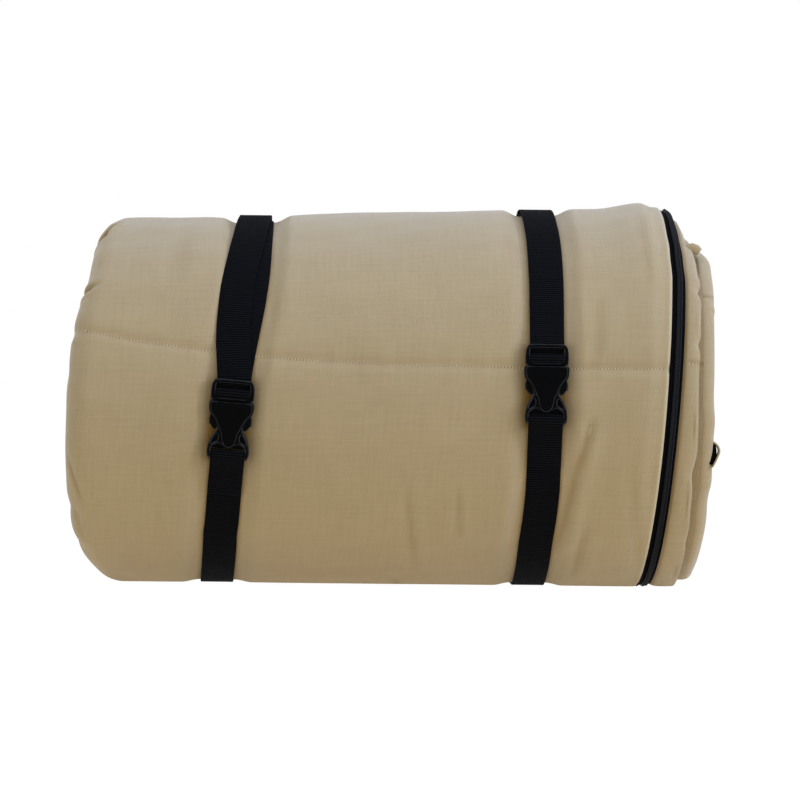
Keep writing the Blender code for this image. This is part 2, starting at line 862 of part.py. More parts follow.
def build_loop(look):
    """A small loop of shell fabric on the closed side."""
    x = closed_side(LOOP_ANGLE) + FIT + 0.1
    radius = (ROLL_RADIUS - LOOP_DEPTH) * cos(pi / STEPS_PER_TURN)
    middle = on_roll(x, radius, LOOP_ANGLE)
    turned = radians(LOOP_ANGLE)
    out = Vector((0, -cos(turned), sin(turned)))
    up = Vector((0, sin(turned), cos(turned)))
    half = LOOP_LENGTH / 2 - LOOP_THICK / 2
    far = LOOP_OUT - LOOP_THICK
    leg = [(0.0, half), (far - 1.2, half), (far, half - 1.4)]
    rise = [(dx, -dz) for dx, dz in leg] + leg[::-1]
    path = [(middle + Vector((dx, 0, 0)) + up * dz, out) for dx, dz in rise]
    strip("side_loop", path, look, thickness=LOOP_THICK, width=LOOP_WIDTH)


def build():
    clear_scene()
    canvas = material("tan canvas", (0.40, 0.32, 0.19), 0.85)
    wadding = material("hollow fibre wadding", (0.80, 0.80, 0.78), 0.95)
    lining = material("cotton lining", (0.46, 0.38, 0.25), 0.9)
    webbing = material("black webbing", (0.012, 0.012, 0.014), 0.7)
    plastic = material("black acetal", (0.010, 0.010, 0.012), 0.4)
    tape = material("black zip tape", (0.012, 0.012, 0.013), 0.8)
    coil = material("black nylon coil", (0.014, 0.014, 0.016), 0.45)
    metal = material("blackened zinc", (0.05, 0.05, 0.055), 0.4, 1.0)

    add_object("bottom_shell", rolled(bottom_shell_section), canvas)
    add_object("top_shell", rolled(top_shell_section), canvas)
    add_object("bottom_insulation", rolled(bottom_wadding_section), wadding)
    add_object("top_insulation", rolled(top_wadding_section), wadding)
    add_object("liner", rolled(liner_section), lining)

    zip_strip("zip_tape_bottom", tape_outline(-1), tape)
    zip_strip("zip_tape_top", tape_outline(1), tape)
    zip_strip("zip_coil", coil_outline(), coil, start_angle=SLIDER_ANGLE)
    build_pull(build_slider(metal), metal)

    sides = (
        ("left", LEFT_BUCKLE, LEFT_ROUTE, LEFT_TAIL_ROUTE),
        ("right", RIGHT_BUCKLE, RIGHT_ROUTE, RIGHT_TAIL_ROUTE),
    )
    for side, buckle, route, tail_route in sides:
        frame = build_strap(side, buckle, route, tail_route, webbing)
        male_frame(f"{side}_buckle_male", frame, plastic)
        prong(f"{side}_prong_a", frame, 1, plastic)
        prong(f"{side}_prong_b", frame, -1, plastic)
        female_housing(f"{side}_buckle_female", frame, plastic)
        print(side, "prongs turn", PRONG_ROOT[0], "mm either side of", in_buckle(frame, PRONG_ROOT[1], 0))
    build_loop(canvas)
    print("the zip slider turns about", *zip_arc())


build()
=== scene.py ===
# A canvas sleeping bag, folded lengthwise, rolled up and held by two straps with side-release buckles.
# Lengths are in metres. Angles round the roll are 0 at the front, 90 on top, 180 behind and -90 on the floor.

import math

import bmesh
import bpy
import numpy as np
from mathutils import Matrix, Vector
from mathutils.bvhtree import BVHTree


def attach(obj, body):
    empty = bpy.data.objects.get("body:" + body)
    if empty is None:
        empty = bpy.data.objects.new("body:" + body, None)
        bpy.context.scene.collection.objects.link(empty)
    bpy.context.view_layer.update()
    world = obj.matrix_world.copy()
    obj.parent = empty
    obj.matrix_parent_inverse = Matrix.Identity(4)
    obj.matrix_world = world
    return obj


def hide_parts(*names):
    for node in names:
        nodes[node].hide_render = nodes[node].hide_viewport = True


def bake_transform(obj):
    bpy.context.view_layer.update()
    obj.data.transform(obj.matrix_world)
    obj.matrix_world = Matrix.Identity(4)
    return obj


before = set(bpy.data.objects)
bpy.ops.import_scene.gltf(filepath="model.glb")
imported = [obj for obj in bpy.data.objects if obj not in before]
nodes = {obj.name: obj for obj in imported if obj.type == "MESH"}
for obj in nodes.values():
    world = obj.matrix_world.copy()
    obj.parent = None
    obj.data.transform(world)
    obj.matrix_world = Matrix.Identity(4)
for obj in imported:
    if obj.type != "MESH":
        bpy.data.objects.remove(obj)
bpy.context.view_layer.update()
mm = 0.001

roll = {
    "radius": 142 * mm,
    "halfLength": 240 * mm,
    "taper": 0.030,
    "flapAngle": 171,
    "dipStart": 0.75,  # where in a turn the spiral starts to step in
    "stack": 32.6 * mm,
    "pitch": 33 * mm,
    "turns": 3.8,
    "shell": 1.0 * mm,
    "liner": 1.2 * mm,
    "wadding": 5.95 * mm,
    "gap": 0.3 * mm,
}
roll["axisHeight"] = roll["radius"] * math.cos(math.pi / 20)

camera = {"distance": 2.5, "aimX": 7.7 * mm, "aimZ": 140.6 * mm, "lens": 146, "roll": -0.6}

foldEdge = (
    (-135, -221.5), (-90, -219.5), (-45, -239.5), (0, -234.5), (45, -225.5), (90, -216.5), (135, -220.5),
    (180, -224.5),
)
# The closed side draws in over the top of the roll and spreads where it lies on the floor
sideShift = (
    (-180, 0), (-135, 2), (-90, 4), (-75, 1.5), (-61, 1.6), (-45, 2.2), (-36, 1.5), (-24, 2.5), (-13, 1.5),
    (0, 0.3), (24, 0), (44, 1), (58, 0), (68, -4), (79, -9), (92, -9), (112, -4), (135, -0.5), (158, 0),
)
zipShift = (
    (-180, 0), (38, 0), (45, -1.2), (51, -1.6), (58, -2.8), (66, -3.3), (75, -3.7), (87, -3.6), (98, -1.2),
    (106, 0), (112, 0), (125, 0), (150, 0), (180, 0),
)
stripEdge = (
    (-180, 17.5), (-135, 19), (-90, 23.5), (-58, 23), (-43, 22.3), (-25, 20.3), (-15, 20.7), (6, 17.4),
    (29, 16.7), (55, 15), (65, 11.2), (74, 9.8), (90, 10.0), (118, 13.5), (150, 17.5),
)
foldShift = (
    (-180, 0), (-135, 1.5), (-90, 4), (-45, 4.2), (-32, 2.8), (-12, -0.6), (8, -2.8), (28, -3), (45, 0.3),
    (62, -1.8), (80, -3), (110, -1), (140, 0),
)
foldNips = (
    (84, 2.6, 2.0), (66, 1.4, 3.4), (38.4, 1.0, 4.2), (23.5, 1.8, 1.0), (10, 3.0, 0.6), (-37, 3.0, 1.2),
    (-52, 2.5, 1.1),
)
stripNips = (
    (35, 1.8, 2.2), (16.5, 1.5, 1.5), (-24, 3.0, 1.2), (62, 2.0, 1.2), (-48, 3.0, 0.9),
)
sideRows = {
    "topCanvas": {"angle": 11.1, "z": 169.3, "startX": 217.8, "endX": 228.6},
    "bottomCanvas": {"angle": 36.4, "z": 219.3, "startX": 229.5, "endX": 238},
}
nipBulge = {"share": 0.2, "place": 2.4}  # beside a nip, in its depths and half widths
# Painted shade lines at tucks along the strip's edge: angle, half width in degrees, strength
stripTucks = ((-8.4, 4.5, 0.8), (-32, 5.5, 0.8), (-64, 4, 0.9), (24, 3, 0.4))
sideNips = ((71, 5.5, -4.5), (32, 1.1, 0.5), (-8, 4.0, 0.8), (-30, 3.0, 0.8))
creases = (
    # start x, angle, end x, angle, depth and half width, all but the angles in millimetres
    (-222, 65, -206, 74, 5.6, 2.1),
    (-238, 25, -229, 18, 1.6, 1.5),
    (-236, -16, -225, -31, 1.3, 1.7),
    (-233, 39.5, -227, 38.5, 0.5, 1.3),
    (-232, -34, -226, -46, 0.8, 2.6),
    (153, 31, 152, 10, 0.7, 5.0),
    (148, -6, 138, -21, 1.3, 3.6),
    (138, -19, 123, -54, 1.3, 4.0),
    (146, -40, 138, -66, 0.9, 4.0),
    (13, -26, 20, -57, 0.7, 3.6),
    (51, -26, 52, -44, 0.6, 2.8),
    (-88, 60, -84, 20, 0.5, 6.0),
    (185, 70, 190, 30, 0.5, 4.0),
    (88, 74, 90, 40, 0.4, 5.0),
    (178, -20, 186, -55, 0.5, 4.0),
    (-150, 70, -158, 38, 0.5, 6.0),
    (5, -66, 8, -78, 1.2, 4.0),
)
quiltLine = (
    (-235, 23.2), (-216, 21.6), (-187, 18.8), (-141, 16.0), (-95, 13.6), (-69, 12.4), (-27, 11.2),
    (10, 10.5), (70, 9.6), (139, 8.8), (200, 8.4),
)
buckles = {
    "left": {"angle": -5.7, "x": -115.4 * mm, "tilt": 4.6, "arch": 2.6 * mm},
    "right": {"angle": 3.8, "x": 113.9 * mm, "tilt": 0.7, "arch": 1.4 * mm},
}
strapRoutes = {
    "left": ((-135, -129), (-90, -131.5), (-45, -124.5), (-31, -121), (-19, -118.4), (7, -113), (36, -103),
             (60, -101.5), (90, -103.5), (135, -110), (180, -119)),
    "right": ((-135, 105.5), (-90, 106), (-49, 109.2), (-31, 112.4), (-19, 113.3), (4, 114), (36, 114.6),
              (54, 113.8), (70, 112), (90, 110), (135, 107.6), (180, 106)),
}
tailRoutes = {
    "left": ((-10, -115), (24, -114.5), (37, -112.9), (48, -109.5), (62, -106.4), (82, -104), (126, -108)),
    "right": ((-10, 114), (36, 114.2), (54, 113.2), (70, 111.4), (90, 109.4), (126, 108.2)),
}


def smoothStep(low, high, value):
    t = np.clip((value - low) / (high - low), 0, 1)
    return t * t * (3 - 2 * t)


def bell(away, half):
    # 1 at no distance, and about a third at the half width
    return np.exp(-((away / half) ** 2))


def closedRoute(points):
    # One place for each degree, on a smooth closed curve through the points given in millimetres.
    points = sorted(points)
    table = []
    count = len(points)
    for degree in range(361):
        angle = (degree - 180 - points[0][0]) % 360 + points[0][0]
        for i in range(count):
            start = points[i][0]
            end = points[(i + 1) % count][0] + (360 if i + 1 == count else 0)
            if start <= angle <= end:
                break
        t = (angle - start) / (end - start)
        before, here = points[i - 1][1], points[i][1]
        there, after = points[(i + 1) % count][1], points[(i + 2) % count][1]
        bend = (2 * before - 5 * here + 4 * there - after) * t * t
        value = (2 * here + (there - before) * t + bend + (3 * here - before - 3 * there + after) * t**3) / 2
        table.append(value * mm)
    return np.array(table)


foldTable = closedRoute(foldEdge) + closedRoute(foldShift)
sideTable = closedRoute(sideShift)
stripTable = closedRoute(stripEdge)
strapTables = {side: closedRoute(route) for side, route in strapRoutes.items()}


def readRoute(table, angle):
    return np.interp((np.asarray(angle, float) + 180) % 360, np.arange(361), table)


zipTable = closedRoute(zipShift)


def zipLine(angle):
    turned = np.radians(angle)
    return (203 + 9.5 * np.sin(turned) + 4 * np.cos(turned)) * mm + readRoute(zipTable, angle)


def closedSide(angle):
    turned = np.radians(angle)
    return (232.7 + 3.5 * np.sin(turned) + 5 * np.cos(turned)) * mm + readRoute(sideTable, angle)


def cone(x):
    return 1 + roll["taper"] * x / roll["halfLength"]


def rollPoint(x, radius, angle):
    turned = np.radians(angle)
    size = cone(x)
    return np.stack([
        x + 0 * radius,
        -size * radius * np.cos(turned),
        size * (roll["axisHeight"] + radius * np.sin(turned)),
    ], axis=-1)


def spiralAngle(turn):
    return roll["flapAngle"] - 360 * turn


def spiralRadius(turn):
    place = turn % 1
    dip = (1 - np.cos(np.pi * np.clip(place - roll["dipStart"], 0, 1) / (1 - roll["dipStart"]))) / 2
    return roll["radius"] - roll["pitch"] * (np.floor(turn) + dip)


def footFlat(radius, angle, clear=0.0):
    # Cuts a radius back to the flat foot that the roll lies on.
    lean = np.cos(np.radians(angle + 90))
    flat = (roll["axisHeight"] - clear) / np.maximum(lean, 0.3)
    return np.minimum(radius, flat)


def nipped(nips, angle):
    # Small drawn-in places along an edge, each with a slight bulge on both sides.
    total = 0 * np.asarray(angle, float)
    for place, half, depth in nips:
        away = (angle - place) / half
        bulge = nipBulge["share"] * bell(np.abs(away) - nipBulge["place"], 1)
        total = total + depth * mm * (bell(away, 1) - bulge)
    return total


def endWarp(x, depth, angle):
    # Beyond the zip the layers slope away more on top of the roll, and less where they lie on the floor.
    top = smoothStep(22, 58, angle) * (1 - smoothStep(88, 113, angle))
    low = smoothStep(-150, -112, angle) * (1 - smoothStep(-66, -18, angle))
    power = 1 - 0.40 * top + 1.6 * low
    beyond = smoothStep(-1 * mm, 13 * mm, x - zipLine(angle))
    share = np.clip(depth / roll["stack"], 1e-6, 1)
    within = (depth > 0) & (depth < roll["stack"])
    return np.where(within, roll["stack"] * share ** (1 + (power - 1) * beyond), depth)


def softNoise(u, v, size, seed, waves=7):
    # A smooth random field of about +-1, from a few sine waves of fixed random directions.
    random = np.random.RandomState(seed)
    total = 0 * (u + v)
    for i in range(waves):
        way = random.uniform(0, 2 * np.pi)
        pace = 2 * np.pi / (size * random.uniform(0.7, 1.6))
        total = total + np.sin((u * np.cos(way) + v * np.sin(way)) * pace + random.uniform(0, 2 * np.pi))
    return total / waves**0.5 / 1.2


# Shared shader groups

def makeGroup(name, inputs, outputs):
    # An input without a value is a vector; all the other sockets are numbers.
    group = bpy.data.node_groups.new(name, "ShaderNodeTree")
    for label, value in inputs.items():
        kind = "NodeSocketVector" if value is None else "NodeSocketFloat"
        made = group.interface.new_socket(label, in_out="INPUT", socket_type=kind)
        if value is not None:
            made.default_value = value
    for label in outputs:
        group.interface.new_socket(label, in_out="OUTPUT", socket_type="NodeSocketFloat")
    return group, group.nodes.new("NodeGroupInput"), group.nodes.new("NodeGroupOutput")


def addNode(tree, kind, inputs, **settings):
    # Each input is given by its name or place, as a value or as a socket to link.
    node = tree.nodes.new("ShaderNode" + kind)
    for key, value in settings.items():
        setattr(node, key, value)
    for key, value in inputs.items():
        if isinstance(value, bpy.types.NodeSocket):
            tree.links.new(value, node.inputs[key])
        else:
            node.inputs[key].default_value = value
    return node


def addMath(tree, operation, *values):
    return addNode(tree, "Math", dict(enumerate(values)), operation=operation).outputs[0]


def addStretch(tree, vector, scale):
    return addNode(tree, "VectorMath", {0: vector, 1: scale}, operation="MULTIPLY").outputs[0]


def addNoise(tree, vector, scale, detail):
    return addNode(tree, "TexNoise", {"Vector": vector, "Scale": scale, "Detail": detail}).outputs["Fac"]


weaveLook = {"lineHalf": 0.07, "slubScales": ((60, 1400), (24, 620))}


def makeWeaveGroup():
    # Plain weave from the cloth's own coordinates, with slubs that run along single threads.
    sockets = {"Cloth": None, "Threads": 1500.0, "Grid": 150.0}
    group, given, out = makeGroup("threadWeave", sockets, ("Height", "Slubs", "Check"))
    cloth = given.outputs["Cloth"]
    split = addNode(group, "SeparateXYZ", {0: cloth})
    waves = []
    lines = []
    for axis in ("X", "Y"):
        turn = addMath(group, "MULTIPLY", split.outputs[axis], given.outputs["Threads"])
        waves.append(addMath(group, "SINE", addMath(group, "MULTIPLY", turn, math.pi)))
        cell = addMath(group, "MULTIPLY", split.outputs[axis], given.outputs["Grid"])
        near = addMath(group, "ABSOLUTE", addMath(group, "SUBTRACT", addMath(group, "FRACT", cell), 0.5))
        lines.append(addMath(group, "LESS_THAN", near, weaveLook["lineHalf"]))
    pairs = []
    for long, short in weaveLook["slubScales"]:
        along, across = [addNoise(group, addStretch(group, cloth, scale), 1.0, 1.0)
                         for scale in ((long, short, 1), (short, long, 1))]
        pairs.append(addMath(group, "ADD", along, across))
    weave = addMath(group, "MULTIPLY", *waves)
    group.links.new(addMath(group, "MULTIPLY_ADD", weave, 0.5, 0.5), out.inputs["Height"])
    group.links.new(addMath(group, "SUBTRACT", addMath(group, "ADD", *pairs), 2.0), out.inputs["Slubs"])
    group.links.new(addMath(group, "MAXIMUM", *lines), out.inputs["Check"])
    return group


def makeGrainGroup():
    # Fine grain and broad unevenness of a moulded surface.
    sockets = {"Place": None, "Fine": 1600.0, "Broad": 90.0}
    group, given, out = makeGroup("mouldedGrain", sockets, ("Grain", "Mottle"))
    for output, scale, detail in (("Grain", "Fine", 2.0), ("Mottle", "Broad", 3.0)):
        noise = addNoise(group, given.outputs["Place"], given.outputs[scale], detail)
        group.links.new(noise, out.inputs[output])
    return group


def makeEdgeHighlightGroup():
    # A mask of outer edges, from the surface's pointiness, where a highlight is painted.
    sockets = {"Pointiness": 0.5, "Start": 0.508, "Full": 0.545}
    group, given, out = makeGroup("paintedEdgeMask", sockets, ("Mask",))
    pointiness, start, full = [given.outputs[label] for label in sockets]
    inputs = {"Value": pointiness, "From Min": start, "From Max": full}
    edge = addNode(group, "MapRange", inputs, interpolation_type="SMOOTHSTEP")
    group.links.new(edge.outputs["Result"], out.inputs["Mask"])
    return group


weaveGroup = makeWeaveGroup()
grainGroup = makeGrainGroup()
edgeHighlightGroup = makeEdgeHighlightGroup()


def newMaterial(name, colour, roughness):
    made = bpy.data.materials.new(name)
    made.use_nodes = True
    tree = made.node_tree
    shader = tree.nodes["Principled BSDF"]
    shader.inputs["Base Color"].default_value = (*colour, 1)
    shader.inputs["Roughness"].default_value = roughness
    made.diffuse_color = (*colour, 1)
    return made, tree, shader


def addTint(tree, shader, colour, amount, mask):
    # Base colour times 1 + amount * mask, so that a mask of about zero leaves the colour alone.
    level = addMath(tree, "MULTIPLY_ADD", mask, amount, 1.0)
    tinted = addNode(tree, "VectorMath", {0: colour, "Scale": level}, operation="SCALE").outputs[0]
    tree.links.new(tinted, shader.inputs["Base Color"])
    return tinted


def addBump(tree, shader, height, distance):
    bump = addNode(tree, "Bump", {"Distance": distance, "Height": height})
    tree.links.new(bump.outputs[0], shader.inputs["Normal"])


def clothCoordinates(tree):
    return addNode(tree, "Attribute", {}, attribute_name="cloth").outputs["Vector"]


def fabricMaterial(name, look):
    made, tree, shader = newMaterial(name, look["colour"], look["roughness"])
    cloth = clothCoordinates(tree)
    inputs = {"Cloth": cloth, "Threads": look["threads"], "Grid": look["grid"]}
    weave = addNode(tree, "Group", inputs, node_tree=weaveGroup)
    mottle = addMath(tree, "SUBTRACT", addNoise(tree, cloth, look["mottleScale"], 3.0), 0.5)
    mask = addMath(tree, "MULTIPLY", mottle, look["mottle"])
    for output, key in (("Slubs", "slubs"), ("Height", "weaveShade"), ("Check", "check")):
        mask = addMath(tree, "MULTIPLY_ADD", weave.outputs[output], look[key], mask)
    tinted = addTint(tree, shader, look["colour"], 1.0, mask)
    if look["paintedLightAndShade"] != (1, 1, 1):
        # Painted brown shade where the cloth is pressed by the webbing or turns in under the zip, painted
        # highlights where the cloth's Z is below 0, and on the webbing painted light and shade along its ribs
        split = addNode(tree, "SeparateXYZ", {0: cloth})
        spread = addNode(tree, "CombineXYZ", {axis: split.outputs["Z"] for axis in ("X", "Y", "Z")})
        change = [share - 1 for share in look["paintedLightAndShade"]]
        inputs = {0: spread.outputs[0], 1: change, 2: (1, 1, 1)}
        shade = addNode(tree, "VectorMath", inputs, operation="MULTIPLY_ADD")
        both = addNode(tree, "VectorMath", {0: tinted, 1: shade.outputs[0]}, operation="MULTIPLY")
        tree.links.new(both.outputs[0], shader.inputs["Base Color"])
    slubs = weave.outputs["Slubs"]
    height = addMath(tree, "MULTIPLY_ADD", slubs, look["slubHeight"], weave.outputs["Height"])
    addBump(tree, shader, height, look["bump"])
    shader.inputs["Sheen Weight"].default_value = look["sheen"]
    shader.inputs["Sheen Roughness"].default_value = 0.5
    shader.inputs["Specular IOR Level"].default_value = look["specular"]
    return made


canvasLook = {
    "colour": (0.348, 0.278, 0.158), "paintedLightAndShade": (0.62, 0.47, 0.24), "roughness": 0.85, "threads": 1500,
    "grid": 190, "slubs": 0.13, "slubHeight": 0.6, "weaveShade": 0.04, "check": 0.02, "mottle": 0.10,
    "mottleScale": 14, "bump": 0.00014, "sheen": 0.55, "specular": 0.25,
}
liningLook = {**canvasLook, "colour": (0.44, 0.36, 0.235), "threads": 1100, "check": 0, "sheen": 0.4}
tapeLook = {
    "colour": (0.0024, 0.0026, 0.0032), "paintedLightAndShade": (1, 1, 1), "roughness": 0.6, "threads": 1800,
    "grid": 400, "slubs": 0.4, "slubHeight": 0.6, "weaveShade": 0.5, "check": 0.0, "mottle": 0.2,
    "mottleScale": 60, "bump": 0.0001, "sheen": 0.0, "specular": 0.004,
}
# On the webbing the weave shade and the tint from the cloth's Z paint light on the rib crests and shade
# between them
webbingLook = {
    **tapeLook, "colour": (0.0009, 0.0010, 0.0013), "paintedLightAndShade": (2.3, 2.3, 2.35), "roughness": 0.5,
    "threads": 1250, "weaveShade": 8.0, "bump": 0.0004, "specular": 0.012,
}

canvas = fabricMaterial("tan canvas", canvasLook)
lining = fabricMaterial("cotton lining", liningLook)
tapeCloth = fabricMaterial("black zip tape", tapeLook)
webbing = fabricMaterial("black webbing", webbingLook)


def mouldedMaterial(name, colour, roughness, grain, shine=0.5):
    made, tree, shader = newMaterial(name, colour, roughness)
    place = tree.nodes.new("ShaderNodeTexCoord").outputs["Object"]
    surface = addNode(tree, "Group", {}, node_tree=grainGroup)
    tree.links.new(place, surface.inputs["Place"])
    mottle = surface.outputs["Mottle"]
    addTint(tree, shader, colour, 0.35, addMath(tree, "SUBTRACT", mottle, 0.5))
    level = addMath(tree, "MULTIPLY_ADD", mottle, 0.16, roughness - 0.08)
    tree.links.new(level, shader.inputs["Roughness"])
    addBump(tree, shader, surface.outputs["Grain"], grain)
    shader.inputs["Specular IOR Level"].default_value = shine
    return made


def addPaintedEdgeHighlights(made, colour, highlightColour):
    # A painted highlight: a lighter line along the outer edges of moulded plastic, where they would catch the
    # light
    tree = made.node_tree
    bend = tree.nodes.new("ShaderNodeNewGeometry").outputs["Pointiness"]
    edge = addNode(tree, "Group", {}, node_tree=edgeHighlightGroup)
    tree.links.new(bend, edge.inputs["Pointiness"])
    inputs = {"Factor": edge.outputs["Mask"], "A": (*colour, 1), "B": (*highlightColour, 1)}
    mix = addNode(tree, "Mix", inputs, data_type="RGBA")
    tree.links.new(mix.outputs["Result"], tree.nodes["Principled BSDF"].inputs["Base Color"])


# The lighter second colour given to the acetal and to the coil is a painted edge highlight
acetal = mouldedMaterial("black acetal", (0.0008, 0.0010, 0.0013), 0.30, 0.00002, 0.03)
addPaintedEdgeHighlights(acetal, (0.0008, 0.0010, 0.0013), (0.045, 0.048, 0.056))
nylonCoil = mouldedMaterial("black nylon coil", (0.0030, 0.0032, 0.0040), 0.36, 0.00002, 0.05)
addPaintedEdgeHighlights(nylonCoil, (0.0018, 0.0020, 0.0026), (0.013, 0.014, 0.017))
zinc = mouldedMaterial("blackened zinc", (0.035, 0.035, 0.04), 0.36, 0.00003)
zinc.node_tree.nodes["Principled BSDF"].inputs["Metallic"].default_value = 0.8
wadding = mouldedMaterial("white wadding", (0.78, 0.78, 0.76), 0.95, 0.0006)
thread = mouldedMaterial("tan thread", (0.66, 0.58, 0.42), 0.75, 0.00005, 0.2)
# Painted shade of the needle holes, given to dark dashes between the stitches
holeShade = mouldedMaterial("shade of a needle hole", (0.08, 0.058, 0.03), 0.9, 0.00005, 0.0)
print("materials made")


# Meshes swept from rings of points

def newObject(name, data):
    made = bpy.data.objects.new(name, data)
    bpy.context.scene.collection.objects.link(made)
    return made


def closedMesh(name, shape, mesh=None):
    # Writes a bmesh to a mesh, with every face looking outward.
    mesh = mesh or bpy.data.meshes.new(name)
    bmesh.ops.recalc_face_normals(shape, faces=shape.faces)
    shape.to_mesh(mesh)
    shape.free()
    return mesh


def sweptMesh(name, rings, look, cloth):
    # rings is (stations, points, 3); each ring is closed, and cloth holds each point's place on the cloth.
    stations, count = rings.shape[:2]
    mesh = bpy.data.meshes.new(name)
    corners = np.arange(stations * count).reshape(stations, count)
    here, beside = corners[:-1], np.roll(corners, -1, axis=1)[:-1]
    above, corner = corners[1:], np.roll(corners, -1, axis=1)[1:]
    faces = np.stack([here, beside, corner, above], axis=-1).reshape(-1, 4).tolist()
    faces.append(corners[0][::-1].tolist())
    faces.append(corners[-1].tolist())
    mesh.from_pydata(rings.reshape(-1, 3).tolist(), [], faces)
    if cloth is not None:
        layer = mesh.attributes.new("cloth", "FLOAT_VECTOR", "POINT")
        layer.data.foreach_set("vector", cloth.reshape(-1, 3).astype(np.float32).ravel())
    mesh.materials.append(look)
    shape = bmesh.new()
    shape.from_mesh(mesh)
    closedMesh(name, shape, mesh)
    mesh.shade_smooth()
    return newObject(name, mesh)


# The folded quilts, rolled up

quiltLook = {
    "crown": 2.8 * mm, "bay": 1.8 * mm, "groove": 3.0 * mm, "footGroove": 2.1 * mm,
    "grooveHalf": 13.5 * mm, "shoulderHalf": 27 * mm,
    "endRound": 15 * mm,  # how far in from the flap's end the stack starts to thin
    "innerSteps": 40, "columns": 230, "flare": 3.4 * mm,
    "quiltAngles": (10.5, 131.5, -110.5),  # rows of quilting, 300 mm apart along the bag
}


def turnStations():
    # Short steps where the flap's end is rounded and over the front, longer ones behind and inside
    marks = ((171, 170.6, 0.2), (170.6, 165, 1.1), (165, 88, 2.0), (88, -62, 0.75), (-62, -189, 2.0),
             (-189, -207, 2.25))
    outer = np.concatenate([np.arange(high, low, -step) for high, low, step in marks])
    outer = (roll["flapAngle"] - outer) / 360
    inner = np.linspace(1.05, roll["turns"], int(quiltLook["innerSteps"] * (roll["turns"] - 1.05)))
    return np.concatenate([outer, inner])


turns = turnStations()
angles = spiralAngle(turns)
radii = spiralRadius(turns)
arcs = np.concatenate([[0], np.cumsum(np.abs(np.diff(np.radians(angles))) * (radii[1:] + radii[:-1]) / 2)])


def footShare(angle):
    # 1 on the flat foot, 0 away from it
    away = np.abs((angle + 90 + 180) % 360 - 180)
    return 1 - smoothStep(7, 24, away)


def outerRise(x, angle, turn):
    # How far the outer face stands over the plain roll: bulges between the straps, grooves under them.
    left = readRoute(strapTables["left"], angle)
    right = readRoute(strapTables["right"], angle)
    between = np.clip((x - left) / (right - left), 0, 1)
    crown = quiltLook["crown"] * np.sin(np.pi * between) ** 0.5
    outLeft = quiltLook["crown"] * smoothStep(0, 1, (left - x) / 40 / mm)
    outRight = quiltLook["bay"] * smoothStep(0, 1, (x - right) / 30 / mm)
    plain = np.where(x < left, outLeft, np.where(x > right, outRight, crown))
    foot = footShare(angle)
    press = quiltLook["groove"] * (1 - foot) + quiltLook["footGroove"] * foot
    seam = zipLine(angle) - 5.5 * mm
    flare = quiltLook["flare"] * (0.62 + 0.38 * np.sin(np.radians(angle)))
    flare = flare * smoothStep(-48 * mm, -12 * mm, x - seam) * (1 - smoothStep(-15 * mm, -4 * mm, x - seam))
    rise = (plain + flare) * (1 - foot)
    for strap in (left, right):
        near = 1 - smoothStep(quiltLook["grooveHalf"], quiltLook["shoulderHalf"], np.abs(x - strap))
        rise = rise * (1 - near) - press * near
    return rise * (1 - smoothStep(0.9, 1.0, turn))


def wrinkles(x, arc, angle, turn):
    # Soft unevenness of the filled quilt, rows of quilting and creases, outward in metres.
    fold = readRoute(foldTable, angle)
    zipAt = zipLine(angle)
    height = creaseField(x, angle)
    height += 0.5 * mm * softNoise(x, arc, 0.11, 3) + 0.22 * mm * softNoise(x, arc * 1.4, 0.045, 5)
    height += 0.9 * mm * softNoise(x * 0.4, arc, 0.030, 8) * np.exp(-np.clip(x - fold, 0, None) / 0.030)
    height += 0.4 * mm * softNoise(x * 0.3, arc, 0.035, 9) * np.exp(-np.clip(zipAt - x, 0, None) / 0.020)
    for row in quiltLook["quiltAngles"]:
        away = np.radians(angle - row - quiltDrift(x)) * roll["radius"]
        height -= 1.3 * mm * bell(away, 3.5 * mm) + 0.5 * mm * bell(away, 14 * mm)
        height += 0.25 * mm * np.sin(x / (3.4 * mm) + 2 * softNoise(x, x, 0.08, 4)) * bell(away, 9 * mm)
    # Nothing moves under the straps, where the webbing holds the cloth down
    for table in strapTables.values():
        height = height * smoothStep(11 * mm, 24 * mm, np.abs(x - readRoute(table, angle)))
    return height * (1 - footShare(angle)) * (1 - smoothStep(0.85, 1.0, turn))


def quiltDrift(x):
    # The rows of quilting run a little downhill to the right, in degrees.
    places, degrees = np.array(quiltLine).T
    return np.interp(x / mm, places, degrees) - quiltLook["quiltAngles"][0]


def creaseField(x, angle):
    # A narrow valley between two soft ridges, along each crease.
    total = 0 * x
    reach = roll["radius"] / mm
    for startX, startAngle, endX, endAngle, depth, half in creases:
        arc = np.radians(angle - startAngle) * reach
        wayX, wayArc = endX - startX, math.radians(endAngle - startAngle) * reach
        length = math.hypot(wayX, wayArc)
        along = ((x / mm - startX) * wayX + arc * wayArc) / length
        across = ((x / mm - startX) * wayArc - arc * wayX) / length
        fade = smoothStep(-0.15, 0.25, along / length) * (1 - smoothStep(0.75, 1.15, along / length))
        ridges = bell(across - 2.1 * half, 1.3 * half) + bell(across + 2.1 * half, 1.3 * half)
        total = total + depth * mm * fade * (0.38 * ridges - bell(across, half))
    return total


def thinEnd(depth, arc):
    # Both ends of the rolled stack are rounded over: the depth closes on the stack's middle.
    middle = roll["stack"] / 2
    near = np.minimum(arc, arcs[-1] - arc) / quiltLook["endRound"]
    share = np.sqrt(np.clip(1 - (1 - np.clip(near, 0, 1)) ** 2, 0, 1))
    return middle + (depth - middle) * (0.04 + 0.96 * share)


def halfRound(centreX, centreDepth, radius, start, end, shares):
    # Ring points of an arc, one for each face share. 0 degrees points along +X, 90 points outward.
    swing = np.radians(np.linspace(start, end, len(shares)))
    return [(centreX + radius * math.cos(t), centreDepth - radius * math.sin(t), share)
            for t, share in zip(swing, shares)]


def levelRun(start, end, count, depth, share):
    return [(x, depth, share) for x in np.linspace(start, end, count)]


